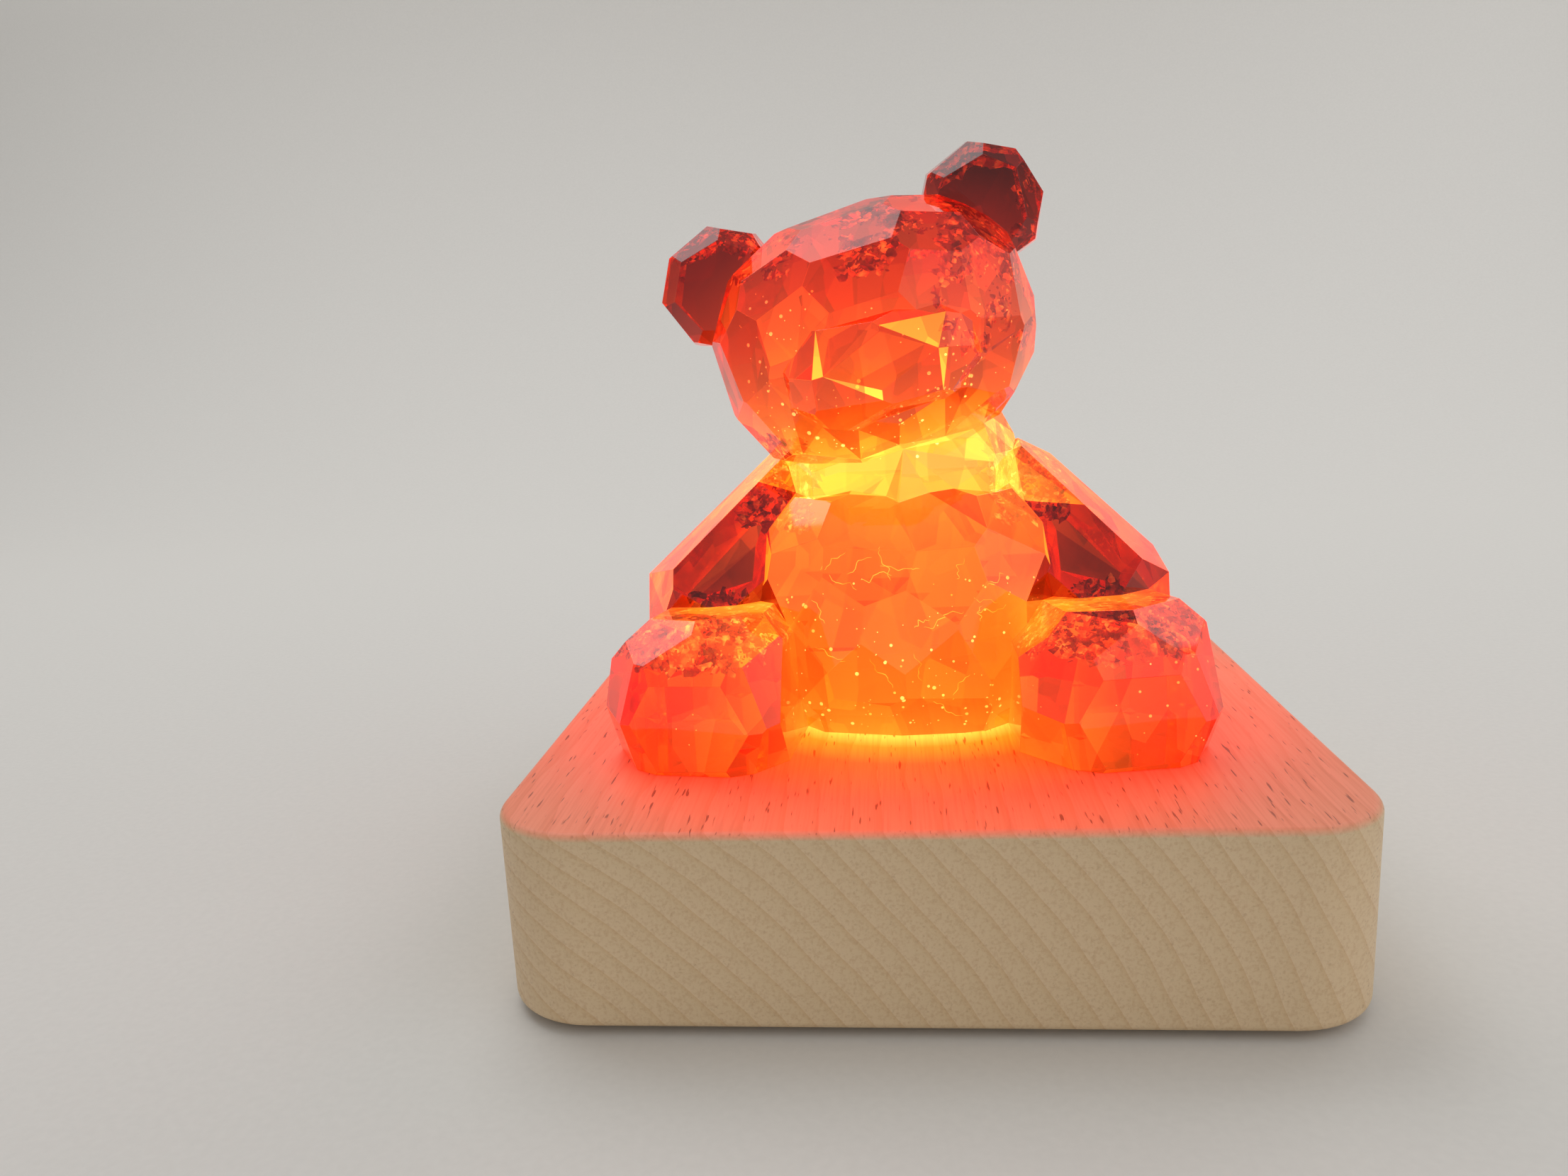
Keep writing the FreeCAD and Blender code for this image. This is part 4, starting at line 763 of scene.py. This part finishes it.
# Air and flow lines in the resin: bright beads and threads that pass on the light behind them
def brightResin(name, roughness, strength, spread, ramp):
    material, tree, shader, coords = newMaterial(name, Roughness=roughness,
                                                 Emission_Strength=strength)
    noise = addNode(tree, "ShaderNodeTexNoise", {"Vector": coords, "Scale": 1 / (spread * mm)})
    warm = addNode(tree, "ShaderNodeValToRGB", {"Fac": noise.outputs["Fac"]}, ramp=ramp)
    tree.links.new(warm.outputs["Color"], shader.inputs["Base Color"])
    tree.links.new(warm.outputs["Color"], shader.inputs["Emission Color"])
    return material


# Air bubbles: tries in three boxes, for the face, the belly and the legs
bubbles = {"count": 300, "seed": 5, "rows": 5, "columns": 8, "size": (0.07, 0.28),
           "sizePower": 4, "depth": (0.6, 5.0), "ramp": [(0.35, "#ff9c3c"), (0.65, "#ffe9a8")],
           "boxes": [((-20, -23, 60), (12, -12, 82), 1800), ((-18, -23, 26), (15, -8, 46), 1400),
                     ((-36, -33, 27), (34, -12, 41), 500)]}


def makeBubbles():
    draw = np.random.default_rng(bubbles["seed"])
    places = np.concatenate([draw.uniform(low, high, (tries, 3))
                             for low, high, tries in bubbles["boxes"]])
    deep = depthInside(places)
    places = places[(deep > bubbles["depth"][0]) & (deep < bubbles["depth"][1])]
    places = places[draw.permutation(len(places))[:bubbles["count"]]]
    size = drawSizes(draw, bubbles["size"], bubbles["sizePower"], len(places))
    # A sphere: rings of points at even angles from its poles, and one point at each pole
    rows, columns = bubbles["rows"], bubbles["columns"]
    tilt = (np.arange(1, rows + 1) * math.pi / (rows + 1))[:, None]
    turn = np.arange(columns) * 2 * math.pi / columns
    rings = np.stack([np.sin(tilt) * np.cos(turn), np.sin(tilt) * np.sin(turn),
                      np.broadcast_to(np.cos(tilt), (rows, columns))], -1).reshape(-1, 3)
    sphere = np.concatenate([rings, [(0, 0, 1), (0, 0, -1)]])
    points = (places[:, None] + sphere[None] * size[:, None, None]).reshape(-1, 3) * mm
    start = (np.arange(len(places)) * len(sphere))[:, None, None]
    quads = (gridFaces(rows, columns)[None, :, ::-1] + start).reshape(-1, 4)
    step = np.arange(columns)
    after = (step + 1) % columns
    top = np.stack([np.full(columns, rows * columns), step, after], -1)
    lastRow = (rows - 1) * columns
    low = np.stack([np.full(columns, rows * columns + 1), lastRow + after, lastRow + step], -1)
    caps = (np.concatenate([top, low])[None] + start).reshape(-1, 3)
    mesh = bpy.data.meshes.new("air_bubbles")
    mesh.from_pydata(points.tolist(), [], quads.tolist() + caps.tolist())
    mesh.shade_smooth()
    material = brightResin("airBubble", roughness=0.1, strength=2.0, spread=9,
                           ramp=bubbles["ramp"])
    newPiece("air_bubbles", mesh, material, "bear")
    print("air bubbles", len(places))


# Flow lines: where one pour met the next, thin threads that wander under the belly's front
flow = {"count": 22, "seed": 3, "steps": 40, "sides": 5, "radius": 0.055, "thinnest": 0.25,
        "box": ((-15, -19.5, 29), (12, -17.5, 54)), "length": (2, 6), "swing": (0.3, 0.9),
        "kinks": (0.8, 1.6), "inward": 0.25, "cover": 0.5,
        "ramp": [(0.35, "#ff8a20"), (0.6, "#ffd76a")]}


def makeFlowLines():
    draw = np.random.default_rng(flow["seed"])
    count, steps, sides = flow["count"], flow["steps"], flow["sides"]
    along = np.linspace(0, 1, steps)
    start = draw.uniform(*flow["box"], (count, 3))
    heading = draw.uniform(0, math.pi, count)[:, None]
    length = draw.uniform(*flow["length"], count)[:, None]
    # Two zigzags, so the thread goes straight from kink to kink
    wave = 0
    for k in (1, 2):
        swing = draw.uniform(*flow["swing"], (count, 1)) / k
        phase = k * along[None] * draw.uniform(*flow["kinks"]) + draw.random((count, 1))
        wave = wave + swing * np.abs(2 * (phase % 1) - 1)
    go = (along[None] - 0.5) * length
    path = np.stack([start[:, :1] + go * np.cos(heading) - wave * np.sin(heading),
                     start[:, 1:2] + flow["inward"] * wave,
                     start[:, 2:] + go * np.sin(heading) + wave * np.cos(heading)], -1)
    # A round thread: a circle of points square to the path, thinner at its ends
    ahead = np.gradient(path, axis=1)
    ahead /= np.linalg.norm(ahead, axis=2)[..., None]
    across = np.cross(ahead, (0, 1, 0))
    across /= np.linalg.norm(across, axis=2)[..., None]
    over = np.cross(across, ahead)
    thinnest = flow["thinnest"]
    thin = flow["radius"] * (thinnest + (1 - thinnest) * np.sin(math.pi * along) ** 0.5)
    turn = (np.arange(sides) * 2 * math.pi / sides)[None, None, :, None]
    ring = across[:, :, None] * np.cos(turn) + over[:, :, None] * np.sin(turn)
    points = path[:, :, None] + ring * thin[None, :, None, None]
    deep = depthInside(path.reshape(-1, 3)).reshape(count, steps).min(1)
    points = points[deep > flow["cover"]]
    kept = len(points)
    faces = gridFaces(steps, sides, kept)[:, ::-1].tolist()
    circle = list(range(sides))
    caps = [(0, circle), ((steps - 1) * sides, circle[::-1])]
    ends = [[line * steps * sides + row + side for side in order]
            for line in range(kept) for row, order in caps]
    mesh = bpy.data.meshes.new("flow_lines")
    mesh.from_pydata((points.reshape(-1, 3) * mm).tolist(), [], faces + ends)
    mesh.shade_smooth()
    material = brightResin("resinFlowLine", roughness=0.2, strength=1.3, spread=2,
                           ramp=flow["ramp"])
    newPiece("flow_lines", mesh, material, "bear")
    print("flow lines", kept)


makeFlakes()
makeBubbles()
makeFlowLines()
